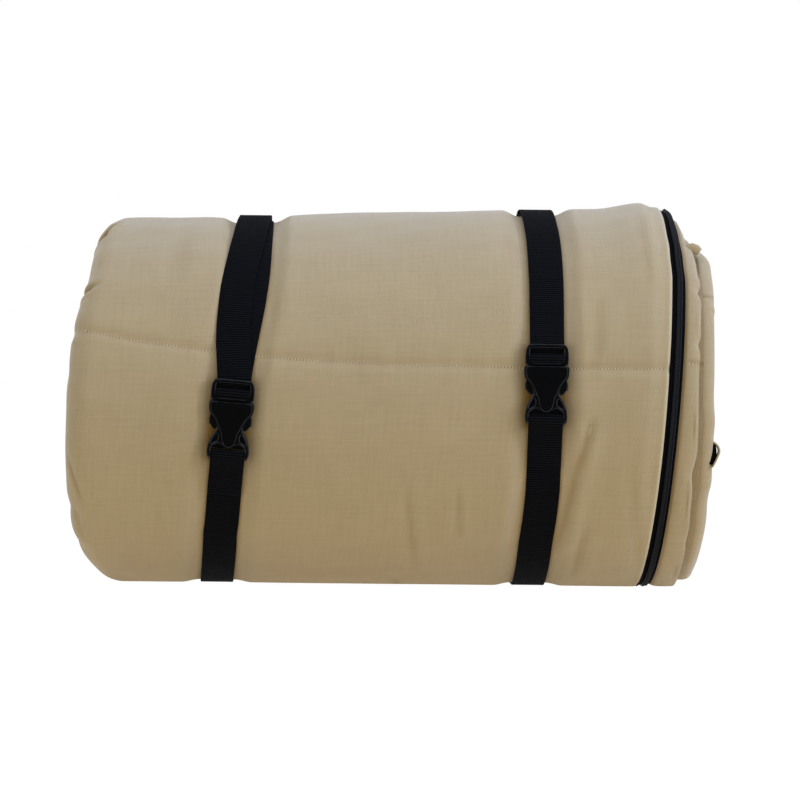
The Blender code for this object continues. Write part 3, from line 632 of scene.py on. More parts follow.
def paintedShadeAndHighlight(x, angle, share, name):
    # Painted shade: 1 where the cloth is pressed or tucked in and its colour is made darker and browner, as
    # shade there; below 0 a painted highlight
    shade = 0 * x
    # Painted shade along both edges of each strap, and a painted shadow round each buckle, stronger on its
    # left
    for side, spec in buckles.items():
        away = np.abs(x - readRoute(strapTables[side], angle))
        shade = shade + 0.75 * bell(away - 12.6 * mm, 1.7 * mm)
        up = np.radians(angle - spec["angle"]) * roll["radius"]
        across = x - spec["x"] - up * math.tan(math.radians(spec["tilt"]))
        far = np.hypot(np.clip(np.abs(across) - 14.5 * mm, 0, None), np.clip(np.abs(up) - 27 * mm, 0, None))
        shade = shade + (0.75 - 0.2 * np.tanh(across / (5 * mm))) * bell(far, 4.2 * mm)
    fold = readRoute(foldTable, angle)
    # Painted shade in the nips of the fold
    for place, half, depth in foldNips:
        shade = shade + 0.22 * depth * bell(angle - place, half) * bell(x - fold - 3 * mm, 4 * mm)
    beyond = x - zipLine(angle)
    # Painted shade along the short side rows of quilting
    row = 0.6 * bell(angle - sideRows[name]["angle"], 0.5) if name in sideRows else 0
    if name == "topCanvas":
        past = beyond - readRoute(stripTable, angle)
        # Painted shade: thin dark lines along the tucks at the strip's edge, a line beside the zip tape, the
        # strip's right edge and the side row
        tucked = sum(strength * bell(angle - place, half) for place, half, strength in stripTucks)
        leaf = tucked * bell(past + 3.2 * mm, 0.9 * mm)
        tape = 0.9 * bell(beyond - 6.3 * mm, 1.1 * mm) + 0.35 * smoothStep(-1.5 * mm, 0, past)
        return np.clip(tape + leaf + row * smoothStep(8 * mm, 9 * mm, beyond), 0, 1)
    # Painted shade in crease valleys, and a painted highlight on their ridges where it goes below 0
    folded = creaseField(x, angle) / mm
    shown = np.minimum(1, 3 * share)
    shade = shade + np.clip(0.16 * folded * np.minimum(folded, 0) - 0.20 * folded, -0.16, 1.3)
    shade = np.clip(shade, -0.2, 1.3)
    # Beside the zip the canvas edge gets a painted highlight; beyond it only the side row's painted shade
    if name == "bottomCanvas":
        return np.where(beyond > 12 * mm, row, (shade - 0.7 * canvasEdgeHighlight(x, angle)) * shown)
    return shade * shown


def canvasEdgeHighlight(x, angle):
    # A painted highlight along the rounded edge of the canvas, beside the zip tape
    return smoothStep(-7.0 * mm, -6.2 * mm, x - zipLine(angle))


def sweepQuilt(name, section, look, inset):
    # section gives a ring of (x, depth, face share) at each angle; face share is 1 on the outer face.
    # A layer with fewer columns is inset a little, so that it stays under the one outside it.
    rings = []
    cloths = []
    hidden = 7 if inset else 0
    for turn, angle, radius, arc in list(zip(turns, angles, radii, arcs))[hidden:len(turns) - hidden]:
        ring = np.array(section(angle))
        x, depth, share = ring.T
        rise = share * (outerRise(x, angle, turn) + wrinkles(x, arc, angle, turn) - inset)
        if turn < 1.05:
            x = x + nipped(foldNips, angle) * bell(x - readRoute(foldTable, angle), 13 * mm)
        depth = thinEnd(endWarp(x, depth, angle) - rise, arc)
        reach = footFlat(radius - depth, angle, clear=np.clip(depth, 0, None))
        rings.append(rollPoint(x, reach, angle))
        along = runLength(ring[:, :2])
        cloths.append(np.stack([along, np.full(len(x), arc), paintedShadeAndHighlight(x, angle, share, name)], axis=-1))
    return sweptMesh(name, np.array(rings), look, np.array(cloths))


def runLength(points):
    # The length run along a line of points, up to each of them.
    return np.concatenate([[0], np.cumsum(np.linalg.norm(np.diff(points, axis=0), axis=1))])


def bottomCanvasSection(angle):
    # Outer arm, fold, inner arm and the round of the closed side, then back inside the cloth.
    fold = readRoute(foldTable, angle)
    seam = zipLine(angle) - 5.5 * mm
    side = closedSide(angle)
    shell, stack = roll["shell"], roll["stack"]
    half, quarter = stack / 2, stack / 4
    bend = fold + half
    ring = [(seam + 0.5 * mm, 2.6 * mm, 1), (seam + 0.3 * mm, 1.2 * mm, 1), (seam - 0.6 * mm, 0.3 * mm, 1)]
    ring += levelRun(seam - 2.2 * mm, bend + 2 * mm, quiltLook["columns"], 0.0, 1)
    ring += halfRound(bend, half, half, 90, 270, np.clip(1 - np.arange(35) / 25, 0, 1))
    ring += levelRun(bend + 6 * mm, side - quarter - 4 * mm, 14, stack, 0)
    side += nipped(sideNips, angle)
    centre = side - quarter
    ring += halfRound(centre, stack - quarter, quarter, -90, 90, [0] * 13)
    ring += [(centre - 2 * mm, half + 0.2 * mm, 0), (centre - 2 * mm, half + shell, 0)]
    ring += halfRound(centre, stack - quarter, quarter - shell, 90, -90, [0] * 9)
    ring += levelRun(centre - 4 * mm, bend + 6 * mm, 10, stack - shell, 0)
    ring += halfRound(bend, half, half - shell, 270, 90, np.clip((np.arange(13) - 4) / 8, 0, 1))
    ring += levelRun(bend + 6 * mm, seam - 3 * mm, 46, shell, 1)
    ring += [(seam - 0.8 * mm, shell + 0.5 * mm, 1), (seam - 0.4 * mm, 2.6 * mm, 1)]
    return ring


def smoothRing(points, rounds=2):
    # Cuts the corners of a closed ring of points to make it round.
    points = np.array(points)
    for _ in range(rounds):
        after = np.roll(points, -1, axis=0)
        cut = np.stack([points * 0.75 + after * 0.25, points * 0.25 + after * 0.75], axis=1)
        points = cut.reshape(-1, points.shape[1])
    return points


def topCanvasSection(angle):
    # The rolled edge beyond the zip, and the doubled arm between the linings.
    zipAt = zipLine(angle)
    half = roll["stack"] / 2
    side = closedSide(angle) - 0.5858 * half / 2 - 1.3 * mm
    fold = readRoute(foldTable, angle) + half - 1 * mm
    edge = (readRoute(stripTable, angle) - nipped(stripNips, angle)) / mm
    crest = 6 + 0.55 * (edge - 6)
    spots = ((4.3, 7.1), (6.2, 5.9), (crest, 5.2), (edge - 1.2, 6.6), (edge, 9.0), (edge, 12.6),
             (edge - 1.6, 15.6))
    far = [(zipAt + a * mm, b * mm) for a, b in spots]
    near = [(x - 0.9 * mm, depth + 0.9 * mm) for x, depth in far[:3]]
    near += [(x - 1 * mm, depth + 0.3 * mm) for x, depth in far[3:]]
    ring = far + [(zipAt + (edge - 5) * mm, half), (side, half), (side, half + 1 * mm), (fold, half + 1 * mm)]
    ring += [(fold, half - 1 * mm), (zipAt + (edge - 6) * mm, half - 1 * mm)] + near[::-1]
    # The ring starts on the hidden arm, where the join of its thread pattern is out of sight
    return [(x, depth, 0) for x, depth in np.roll(smoothRing(ring), -40, axis=0)]


def paddingSection(angle, top, thick, startX, endX):
    stack = roll["stack"]
    half = stack / 2
    bend = readRoute(foldTable, angle) + half
    inner = max(half - top - thick, 0.3 * mm)
    ring = levelRun(startX, bend + 4 * mm, 40, top, 1)
    ring += halfRound(bend, half, half - top, 90, 270, np.clip(1 - np.arange(11) / 8, 0, 1))
    ring += levelRun(bend + 6 * mm, endX, 8, stack - top, 0)
    ring += levelRun(endX, bend + 6 * mm, 8, stack - top - thick, 0)
    ring += halfRound(bend, half, inner, 270, 90, np.clip((np.arange(11) - 2) / 8, 0, 1))
    ring += levelRun(bend + 4 * mm, startX, 40, top + thick, 1)
    return ring


def layerSection(depth, thick, inStrip=False):
    # A layer ends before the zip, or runs on into the strip beyond it.
    def section(angle):
        past = readRoute(stripTable, angle) if inStrip else 0
        start = zipLine(angle) + past - 6 * mm
        return paddingSection(angle, depth, thick, start, closedSide(angle) - 9 * mm)
    return section


firstWadding = roll["shell"] + roll["gap"]
liningDepth = firstWadding + roll["wadding"] + roll["gap"]
secondWadding = liningDepth + roll["liner"] + roll["gap"]

rolled = {}
layerInset = 1.1 * mm
bottomPadding = layerSection(firstWadding, roll["wadding"])
innerLayer = layerSection(liningDepth, roll["liner"])
topPadding = layerSection(secondWadding, roll["wadding"], inStrip=True)
quilts = (
    ("bottomCanvas", bottomCanvasSection, canvas, "bottom_shell", "canvas", 0),
    ("topCanvas", topCanvasSection, canvas, "top_shell", "canvas", 0),
    ("bottomWadding", bottomPadding, wadding, "bottom_insulation", "wadding", layerInset),
    ("innerLining", innerLayer, lining, "liner", "lining", layerInset),
    ("topWadding", topPadding, wadding, "top_insulation", "wadding", layerInset),
)
for name, section, look, node, slotName, inset in quilts:
    piece = sweepQuilt(name, section, look, inset)
    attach(piece, "roll")
    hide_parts(node)
    rolled[name] = piece
print("quilts rolled")


# Lock stitch along the rows of quilting, each stitch its own short length of thread

seamLook = {
    "pitch": 2.4 * mm, "length": 1.2 * mm, "half": 0.36 * mm, "proud": 0.08 * mm, "hole": 0.8 * mm,
    "sunk": 0.05 * mm, "sidePitch": 1.2,
}


def clothPoint(x, angle, lift):
    # A place on the outer face of the roll, at rest.
    turn = (roll["flapAngle"] - angle) / 360
    arc = float(np.interp(turn, turns, arcs))
    here = np.array([x])
    rise = float(outerRise(here, angle, turn)[0] + wrinkles(here, arc, angle, turn)[0])
    return rollPoint(np.array(x), footFlat(spiralRadius(turn) + rise + lift, angle), angle)


def addStitch(shape, start, end, out):
    # A short thread that dives into the cloth at both ends.
    start, end, out = Vector(start), Vector(end), Vector(out)
    across = (end - start).normalized().cross(out).normalized()
    sides = 6
    rings = []
    for t, size in ((0, 0.35), (0.18, 0.85), (0.5, 1.0), (0.82, 0.85), (1, 0.35)):
        middle = start.lerp(end, t) - out * seamLook["half"] * (1 - size) * 1.3
        ring = [middle + (across * math.cos(a) + out * math.sin(a)) * seamLook["half"] * size
                for a in [i * math.pi / 3 for i in range(sides)]]
        rings.append([shape.verts.new(p) for p in ring])
    for low, high in zip(rings, rings[1:]):
        for i in range(sides):
            shape.faces.new((low[i], low[(i + 1) % sides], high[(i + 1) % sides], high[i]))
    shape.faces.new(rings[0][::-1])
    shape.faces.new(rings[-1])


def stitchObject(name, runs, length, look):
    # runs holds one list of (point, way, outward direction) for each line of stitches.
    shape = bmesh.new()
    for run in runs:
        for point, way, out in run:
            addStitch(shape, point - way * length / 2, point + way * length / 2, out)
    mesh = closedMesh(name, shape)
    mesh.materials.append(look)
    mesh.shade_smooth()
    made = newObject(name, mesh)
    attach(made, "roll")


def quiltRows():
    runs = []
    for row in quiltLook["quiltAngles"]:
        run = []
        fold = readRoute(foldTable, row)
        for x in np.arange(fold + 13 * mm, zipLine(row) - 9 * mm, seamLook["pitch"]):
            angle = row + quiltDrift(x)
            if any(abs(x - readRoute(table, angle)) < 12 * mm for table in strapTables.values()):
                continue
            before, after = [Vector(clothPoint(place, row + quiltDrift(place), seamLook["proud"]))
                             for place in (x - 1 * mm, x + 1 * mm)]
            turned = math.radians(angle)
            out = Vector((0, -math.cos(turned), math.sin(turned)))
            run.append(((before + after) / 2, (after - before).normalized(), out))
        runs.append(run)
    return runs


def clothTree(piece):
    mesh = piece.data
    faces = [tuple(face.vertices) for face in mesh.polygons]
    return BVHTree.FromPolygons([vertex.co for vertex in mesh.vertices], faces)


def sideStitches():
    # Short rows across the two strips beyond the zip, laid on the cloth where the front of it is.
    runs = []
    for name, row in sideRows.items():
        tree = clothTree(rolled[name])
        hits = []
        for x in np.arange(row["startX"], row["endX"], seamLook["sidePitch"]):
            place, normal, _, _ = tree.ray_cast(Vector((x * mm, -1, row["z"] * mm)), Vector((0, 1, 0)))
            if place is not None and place.y < 0:
                hits.append((place, normal))
        run = []
        for (before, out), (after, _) in zip(hits[::2], hits[1::2]):
            run.append(((before + after) / 2 + out * seamLook["proud"], (after - before).normalized(), out))
        runs.append(run)
    return runs


stitchLines = quiltRows() + sideStitches()
step, sunk = seamLook["pitch"] / 2, seamLook["sunk"]
# Dark dashes between the stitches, sunk a little, painted as the shade in the needle holes
needleHoleShade = [[(point + way * step - out * sunk, way, out) for point, way, out in line]
               for line in stitchLines]
stitchObject("quiltStitches", stitchLines, seamLook["length"], thread)
stitchObject("needleHoleShade", needleHoleShade, seamLook["hole"], holeShade)
print("quilting stitched")

# The zip round the right end

zipLook = {
    "tilt": 30, "depth": 3.2 * mm, "tapeThick": 0.8 * mm, "tapeHalf": 5.7 * mm, "tapeGap": 0.9 * mm,
    "coilHalf": 2.3 * mm, "coilHeight": 2.0 * mm, "coilLow": 0.6 * mm, "coilPitch": 1.7 * mm,
    "coilStart": 158,
}


def bandPoints(angle, radius, outline):
    # Points of the tilted band, from (place across it, height out of it), at one angle.
    tilt = math.radians(zipLook["tilt"])
    across, out = outline[:, 0], outline[:, 1]
    x = zipLine(angle) + across * math.cos(tilt) + out * math.sin(tilt)
    depth = zipLook["depth"] + across * math.sin(tilt) - out * math.cos(tilt)
    depth = endWarp(x, depth, angle)
    return rollPoint(x, footFlat(radius - depth, angle, clear=0.2 * mm + np.clip(depth, 0, None)), angle)


def spiralStations(startAngle, spacing):
    # Turns at even spacing along the spiral, with the length run so far.
    fine = np.linspace((roll["flapAngle"] - startAngle) / 360, roll["turns"] - 0.002, 6000)
    reach = spiralRadius(fine)
    run = np.concatenate([[0], np.cumsum(np.diff(fine) * 2 * np.pi * (reach[1:] + reach[:-1]) / 2)])
    even = np.arange(0, run[-1], spacing)
    return np.interp(even, run, fine), even


def buildTape(name, side, node):
    half = zipLook["tapeThick"] / 2
    stations, run = spiralStations(roll["flapAngle"] - 1.2, 5 * mm)
    rings = []
    cloth = np.zeros((len(run), 8, 3))
    for i, turn in enumerate(stations):
        angle = spiralAngle(turn)
        # The tapes meet beyond the end of the coil
        apart = 1 - smoothStep(154, 159, angle) if turn < 1 else 1
        inner, outer = side * zipLook["tapeGap"] * (0.08 + 0.92 * apart), side * zipLook["tapeHalf"]
        upper = [(outer, half * 0.6), (outer - side * 0.5 * mm, half), (inner + side * 0.9 * mm, half),
                 (inner, half * 1.3)]
        outline = np.array(upper + [(across, -high) for across, high in reversed(upper)])
        rings.append(bandPoints(angle, spiralRadius(turn), outline))
        cloth[i, :, 0] = outline[:, 0]
        cloth[i, :, 1] = run[i]
    piece = sweptMesh(name, np.array(rings), tapeCloth, cloth)
    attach(piece, "roll")
    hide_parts(node)


def buildCoil():
    half, high, low = zipLook["coilHalf"] / mm, zipLook["coilHeight"] / mm, zipLook["coilLow"] / mm
    crest, shoulder = low + 0.95 * high, low + 0.5 * high
    left = [(-half, low, 0), (-half, shoulder, 0.5), (-half + 0.6, crest, 1), (-0.5, crest, 1)]
    right = [(-across, up, -lean) for across, up, lean in reversed(left)]
    profile = np.array(left + [(0, low + 0.72 * high, 0)] + right)
    stations, run = spiralStations(zipLook["coilStart"], zipLook["coilPitch"] / 4)
    rings = []
    for turn, along in zip(stations, run):
        wave = math.cos(2 * math.pi * along / zipLook["coilPitch"]) * profile[:, 2]
        outline = np.stack([profile[:, 0] * (1 + 0.05 * wave), profile[:, 1] + 0.42 * wave], axis=-1) * mm
        rings.append(bandPoints(spiralAngle(turn), spiralRadius(turn), outline))
    piece = sweptMesh("zipCoil", np.array(rings), nylonCoil, None)
    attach(piece, "roll")
    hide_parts("zip_coil")


buildTape("zipTapeBottom", -1, "zip_tape_bottom")
buildTape("zipTapeTop", 1, "zip_tape_top")
buildCoil()
print("zip made")


# Straps of 25 mm webbing

strapLook = {
    "width": 25 * mm, "thick": 1.4 * mm, "ribPitch": 1.8 * mm, "ribHeight": 0.11 * mm,
    "lift": 1.0 * mm, "tailLift": 1.9 * mm, "tailEnd": 117, "joinAngle": 112,
    "doubled": {"left": 31 * mm, "right": 34.5 * mm},  # where the webbing's sewn end stops below the buckle
}
buckleMiddle = 30 * mm


def buckleFrame(spec):
    # X across, Y up along the strap, Z away from the roll.
    turned, tilt = math.radians(spec["angle"]), math.radians(spec["tilt"])
    out = Vector((0, -math.cos(turned), math.sin(turned)))
    rise = Vector((0, math.sin(turned), math.cos(turned)))
    across = Vector((math.cos(tilt), 0, 0)) - rise * math.sin(tilt)
    up = rise * math.cos(tilt) + Vector((math.sin(tilt), 0, 0))
    made = Matrix.Identity(4)
    for i, axis in enumerate((across, up, out)):
        made.col[i][:3] = axis
    made.col[3][:3] = Vector(rollPoint(spec["x"], roll["radius"] + 1.7 * mm, spec["angle"]))
    return made


def inBuckle(place, down, out):
    return np.array(place @ Vector((0, buckleMiddle - down * mm, out * mm)))


def strapRadius(angle):
    turn = (roll["flapAngle"] - angle) / 360
    foot = footShare(angle)
    press = quiltLook["groove"] * (1 - foot) + quiltLook["footGroove"] * foot
    reach = spiralRadius(turn) - press + strapLook["lift"]
    return footFlat(reach, angle, clear=0.95 * mm)


def onRoll(side, angle, lift=0.0, table=None):
    x = readRoute(strapTables[side], angle) if table is None else np.interp(angle, table[0], table[1])
    return rollPoint(x, strapRadius(angle) + lift, angle)


def pulledTight(points):
    # Webbing under tension runs straight over hollows: those points move out onto the straight line.
    kept = []
    for i, point in enumerate(points):
        while len(kept) > 1:
            (y0, z0), (y1, z1) = points[kept[-2]][1:], points[kept[-1]][1:]
            if (y1 - y0) * (point[2] - z0) - (z1 - z0) * (point[1] - y0) < 0:
                break
            kept.pop()
        kept.append(i)
    columns = [np.interp(range(len(points)), kept, [points[k][axis] for k in kept]) for axis in range(3)]
    return list(np.stack(columns, axis=-1))


def smoothPath(points, across, spacing):
    # An even run of points along a smooth curve through the given ones, with the directions across.
    points, across = np.array(points), np.array(across)
    dense, denseAcross = [], []
    last = len(points) - 2
    for i in range(last + 1):
        p0, p1, p2, p3 = points[max(i - 1, 0)], points[i], points[i + 1], points[min(i + 2, last + 1)]
        length = np.linalg.norm(p2 - p1)
        ways = []
        for other in (p1 - p0, p3 - p2):
            way = (p2 - p1) + other * min(length / max(np.linalg.norm(other), 1e-6), 3.0)
            ways.append(way / max(np.linalg.norm(way), 1e-9) * length)
        for t in np.linspace(0, 1, 9)[: 9 if i == last else 8]:
            a, b = 2 * t**3 - 3 * t**2 + 1, t**3 - 2 * t**2 + t
            c, d = -2 * t**3 + 3 * t**2, t**3 - t**2
            dense.append(a * p1 + b * ways[0] + c * p2 + d * ways[1])
            denseAcross.append(across[i] * (1 - t) + across[i + 1] * t)
    run = runLength(np.array(dense))
    even = np.linspace(0, run[-1], int(run[-1] / spacing) + 1)
    spread = [np.stack([np.interp(even, run, column) for column in np.array(each).T], axis=-1)
              for each in (dense, denseAcross)]
    return *spread, even


def webbingProfile():
    # The ring of a flat strap with rounded selvedges: (place across, height), in strap halves.
    edge = [(-1.0, 0.0), (-0.985, 0.62), (-0.945, 1.0), (-0.6, 0.96), (-0.2, 0.98)]
    upper = edge + [(-across, high) for across, high in reversed(edge[1:])]
    return np.array(upper + [(-across, -high) for across, high in upper])


def buildRibbon(name, points, across):
    pitch = strapLook["ribPitch"]
    path, sideways, run = smoothPath(points, across, pitch / 4)
    ahead = np.gradient(path, axis=0)
    ahead /= np.linalg.norm(ahead, axis=1, keepdims=True)
    normal = np.cross(sideways, ahead)
    normal /= np.linalg.norm(normal, axis=1, keepdims=True)
    sideways = np.cross(ahead, normal)
    place, high = webbingProfile().T
    half, thick = strapLook["width"] / 2, strapLook["thick"] / 2
    wave = np.cos(2 * np.pi * run / pitch)[:, None]
    inner = np.clip((1 - np.abs(place)) / 0.05, 0, 1) * np.sign(high)
    high = high * (thick - strapLook["ribHeight"]) + strapLook["ribHeight"] * wave * inner
    rings = path[:, None] + sideways[:, None] * (place * half)[:, None] + normal[:, None] * high[:, :, None]
    cloth = np.zeros(rings.shape)
    cloth[:, :, 0] = place * half
    cloth[:, :, 1] = run[:, None]
    # The cloth's Z is the rib wave, which the webbing's tint turns into painted light on the crests and
    # painted shade between them
    cloth[:, :, 2] = np.clip(wave, -0.75, 1)
    return sweptMesh(name, rings, webbing, cloth)


def buildStrap(side):
    spec = buckles[side]
    place = buckleFrame(spec)
    across = np.array(place.col[0][:3])
    level = np.array([1.0, 0, 0])
    join = strapLook["joinAngle"]
    tailTable = np.array(tailRoutes[side]).T * np.array([[1], [mm]])

    # Down the load strand, round the lock bar and up the tail
    down = [float(a) for a in np.arange(join, spec["angle"] + 18, -1.5)]
    points = [onRoll(side, a) for a in down]
    ways = [level] * len(points)
    turn = [(-4.0, -6.53), (3.0, -3.6), (9.0, -3.35), (12.2, -2.6), (13.0, -1.6), (13.0, 2.1), (12.2, 2.85),
            (8.2, 2.85), (7.45, 2.1), (7.45, -0.4), (6.3, -1.55), (2.5, -1.6), (-1.3, -3.1)]
    points += [inBuckle(place, *spot) for spot in turn]
    ways += [across] * len(turn)
    up = [float(a) for a in np.arange(spec["angle"] + 24, strapLook["tailEnd"] + 0.1, 1.5)]
    arch = [spec["arch"] * math.exp(-(((a - 86) / 17) ** 2)) for a in up]
    points += [onRoll(side, a, strapLook["tailLift"] + rise, tailTable) for a, rise in zip(up, arch)]
    ways += [level] * len(up)
    upper = buildRibbon(side + "StrapFront", points, ways)
    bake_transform(upper)
    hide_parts(side + "_strap_tail", side + "_strap_wrap")

    # Over the back, straight across the flap's step, under the roll and round the housing's bar
    points = pulledTight([onRoll(side, (a + 180) % 360 - 180) for a in np.arange(join, 333.2, 1.5)])
    ways = [level] * len(points)
    load = points[-1]
    bar = [(57.2, -2.9), (52.7, -2.3), (51.9, -1.5), (51.9, 2.0), (52.7, 2.75), (57.0, 2.75)]
    points += [inBuckle(place, *spot) for spot in bar]
    low = inBuckle(place, *bar[0])
    line = (load - low) / np.linalg.norm(load - low)
    lift = np.cross(across, line)
    lift = lift / np.linalg.norm(lift) * (-1 if lift[1] > 0 else 1)
    gap = strapLook["thick"] + 0.4 * mm
    straight = np.linalg.norm(load - low) - 0.5 * mm
    doubled = strapLook["doubled"][side]
    for along in (9 * mm, 18 * mm, min(straight, doubled)):
        points.append(low + line * along + lift * gap)
    ways += [across] * (len(points) - len(ways))
    if doubled > straight:
        points.append(onRoll(side, -27 - math.degrees((doubled - straight) / roll["radius"]), gap))
        ways.append(level)
    lower = buildRibbon(side + "StrapBack", points, ways)
    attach(lower, "roll")
    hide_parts(side + "_strap")


for side in ("left", "right"):
    buildStrap(side)
print("straps made")

# Side-release buckles: each outline is given for the right half, as (across, down) in millimetres

buckleLook = {
    "voxel": 0.32 * mm, "smoothing": 4, "keep": 0.45, "halfThick": 3.5, "shieldTop": 4.5, "wall": 1.5,
    "maleHalf": 2.75, "prongHalf": 2.4,
    "housing": [(0, 15.6), (15.7, 15.6), (16.3, 16.4), (16.4, 20.0), (16.1, 23.0), (15.2, 25.4),
        (13.2, 27.0), (11.4, 29.2), (10.1, 31.8), (9.2, 34.4), (8.6, 36.4), (9.8, 37.6), (11.8, 39.9),
        (13.5, 43.0), (14.6, 46.6), (15.3, 50.2), (15.5, 53.2), (15.1, 55.8), (14.2, 57.8), (13.2, 58.8),
        (12.4, 58.8), (0, 58.8)],
    "shield": [(0, 16.1), (13.8, 16.1), (15.0, 17.1), (15.2, 21.0), (14.6, 24.2), (12.4, 26.9),
        (10.6, 29.0), (9.0, 32.0), (8.0, 35.0), (6.8, 37.4), (5.8, 39.6), (5.2, 43.2), (4.5, 45.9),
        (3.2, 48.1), (1.2, 49.2), (0, 49.3)],
    "flank": [(0, 36.0), (8.2, 36.0), (7.9, 39.6), (7.4, 43.4), (6.6, 46.6), (4.6, 48.0), (0, 48.2)],
    "cavity": [(0, 13.0), (14.0, 13.0), (14.0, 25.2), (18.5, 26.6), (18.5, 35.2), (9.6, 37.8), (3.6, 38.4),
        (3.6, 45.0), (0, 45.0)],
    "recess": [(8.7, 38.8), (10.6, 40.9), (12.2, 44.0), (13.2, 47.9), (10.6, 45.9), (8.3, 44.8),
        (7.6, 42.2)],
    "slot": [(0, 46.4), (8.0, 46.5), (10.6, 47.9), (12.9, 50.2), (12.9, 62.0), (0, 62.0)],
    "frame": [(0, -0.2), (10.6, -0.2), (13.4, 0.5), (15.2, 2.6), (15.7, 6.4), (15.7, 12.0), (15.6, 15.5),
        (0, 15.5)],
    "window": [(0, 1.2), (11.4, 1.2), (12.6, 2.6), (12.6, 13.6), (0, 13.6)],
    "neck": [(0, 14.2), (13.4, 14.2), (13.4, 20.6), (3.8, 21.2), (2.8, 24.0), (2.8, 41.5), (1.4, 43.5),
        (0, 43.5)],
    "prong": [(10.1, 21.9), (11.9, 21.8), (12.9, 22.6), (14.4, 24.0), (15.2, 26.4), (15.2, 29.4),
        (14.8, 32.0), (13.9, 34.5), (12.1, 36.6), (10.2, 37.2), (9.3, 36.2), (9.0, 33.5), (9.2, 29.5),
        (9.4, 25.0), (9.5, 22.8)],
    "grips": (28.6, 30.4, 32.2), "roomHalf": 4.2, "through": 6,
}


def bothSides(half):
    return half + [(-across, down) for across, down in reversed(half) if across > 0]


def softOutline(points):
    return [tuple(p) for p in smoothRing(points, 1)]


def softBoth(half):
    return softOutline(bothSides(half))


def block(half, top, bottom):
    return [(half, top), (half, bottom), (-half, bottom), (-half, top)]


def addPlate(shape, outline, low, high):
    # A plate of this outline between two heights, in the buckle's own frame.
    flat = [shape.verts.new((across * mm, buckleMiddle - down * mm, low * mm)) for across, down in outline]
    face = shape.faces.new(flat)
    grown = bmesh.ops.extrude_face_region(shape, geom=[face])
    lifted = [item for item in grown["geom"] if isinstance(item, bmesh.types.BMVert)]
    bmesh.ops.translate(shape, vec=(0, 0, (high - low) * mm), verts=lifted)


def platesObject(name, plates):
    shape = bmesh.new()
    for outline, low, high in plates:
        addPlate(shape, outline, low, high)
    return newObject(name, closedMesh(name, shape))


def evaluatedMesh(obj):
    graph = bpy.context.evaluated_depsgraph_get()
    graph.update()
    return bpy.data.meshes.new_from_object(obj.evaluated_get(graph), depsgraph=graph)


def modify(body, kind, **settings):
    step = body.modifiers.new(kind.lower(), kind)
    for key, value in settings.items():
        setattr(step, key, value)


def mouldedMesh(name, adds, cuts, extras=()):
    # Plates are cut, then joined with the extras by a fine remesh that also softens every edge.
    body = platesObject(name, adds)
    helpers = []
    modify(body, "REMESH", mode="VOXEL", voxel_size=buckleLook["voxel"])
    steps = [([cut], "DIFFERENCE") for cut in cuts]
    if extras:
        steps.append((extras, "UNION"))
    for plates, operation in steps:
        helper = platesObject(f"{name}{operation}", plates)
        helper.hide_render = True
        helpers.append(helper)
        modify(body, "BOOLEAN", object=helper, operation=operation, use_self=operation == "UNION")
    modify(body, "REMESH", mode="VOXEL", voxel_size=buckleLook["voxel"])
    modify(body, "SMOOTH", factor=0.5, iterations=buckleLook["smoothing"])
    modify(body, "DECIMATE", ratio=buckleLook["keep"])
    mesh = evaluatedMesh(body)
    for old in [body] + helpers:
        bpy.data.objects.remove(old)
    mesh.materials.clear()
    mesh.materials.append(acetal)
    mesh.shade_smooth()
    return mesh


def makeBuckleMeshes():
    look = buckleLook
    thick, shield, half, through = look["halfThick"], look["shieldTop"], look["maleHalf"], look["through"]
    prongHalf = look["prongHalf"]
    room = look["roomHalf"] - look["wall"]
    adds = [(softBoth(look["housing"]), -thick, thick), (softBoth(look["shield"]), -shield, shield)]
    cuts = [(bothSides(look["cavity"]), -room, room), (bothSides(look["slot"]), -1.9, through)]
    cuts.append((block(12.9, 50.8, 62), -through, through))
    for side in (1, -1):
        recess = softOutline([(side * across, down) for across, down in look["recess"]])
        cuts += [(recess, 0.3, through), (recess, -through, -1.4)]
    extras = [(block(13.7, 53.0, 56.4), -1.2, 1.7), (softBoth(look["flank"]), 1.8, 2.9)]
    extras.append((softBoth(look["shield"][8:]), 1.8, shield))
    made = {"buckle_female": mouldedMesh("female", adds, cuts, extras)}
    cuts = [(softBoth(look["window"]), -through, through), (block(20, -3, 4.2), -through, -0.5)]
    cuts.append((block(11.5, 1.2, 2.3), 1.9, through))
    extras = [(block(13.7, 0.0, 2.3), -0.5, 2.5), (block(13.7, 8.5, 11.9), -1.5, 1.8)]
    extras.append((bothSides(look["neck"]), -prongHalf, prongHalf))
    made["buckle_male"] = mouldedMesh("male", [(softBoth(look["frame"]), -half, half)], cuts, extras)
    for letter, side in (("a", 1), ("b", -1)):
        outline = softOutline([(side * across, down) for across, down in look["prong"]])
        plates = [(outline, -prongHalf, prongHalf)]
        for down in look["grips"]:
            grip = [(14.2, down), (15.75, down), (15.75, down + 0.9), (14.2, down + 0.9)]
            plates.append(([(side * across, level) for across, level in grip], -2.0, 2.0))
        made["prong_" + letter] = mouldedMesh("prong", plates, [])
    return made


buckleMeshes = makeBuckleMeshes()
buckleNames = {
    "buckle_female": "BuckleHousing", "buckle_male": "BuckleLadder", "prong_a": "ProngA", "prong_b": "ProngB",
}
buckleBodies = {
    "buckle_female": "roll", "buckle_male": "{}_male", "prong_a": "{}_prong_a", "prong_b": "{}_prong_b",
}
for side in ("left", "right"):
    for part, mesh in buckleMeshes.items():
        own = mesh.copy()
        own.transform(buckleFrame(buckles[side]))
        piece = newObject(side + buckleNames[part], own)
        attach(piece, buckleBodies[part].format(side))
        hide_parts(f"{side}_{part}")
print("buckles moulded")

for part in ("zip_slider", "zip_pull"):
    nodes[part].data.materials.clear()
    nodes[part].data.materials.append(zinc)

# The tucked corner of canvas that stands out between the two strips

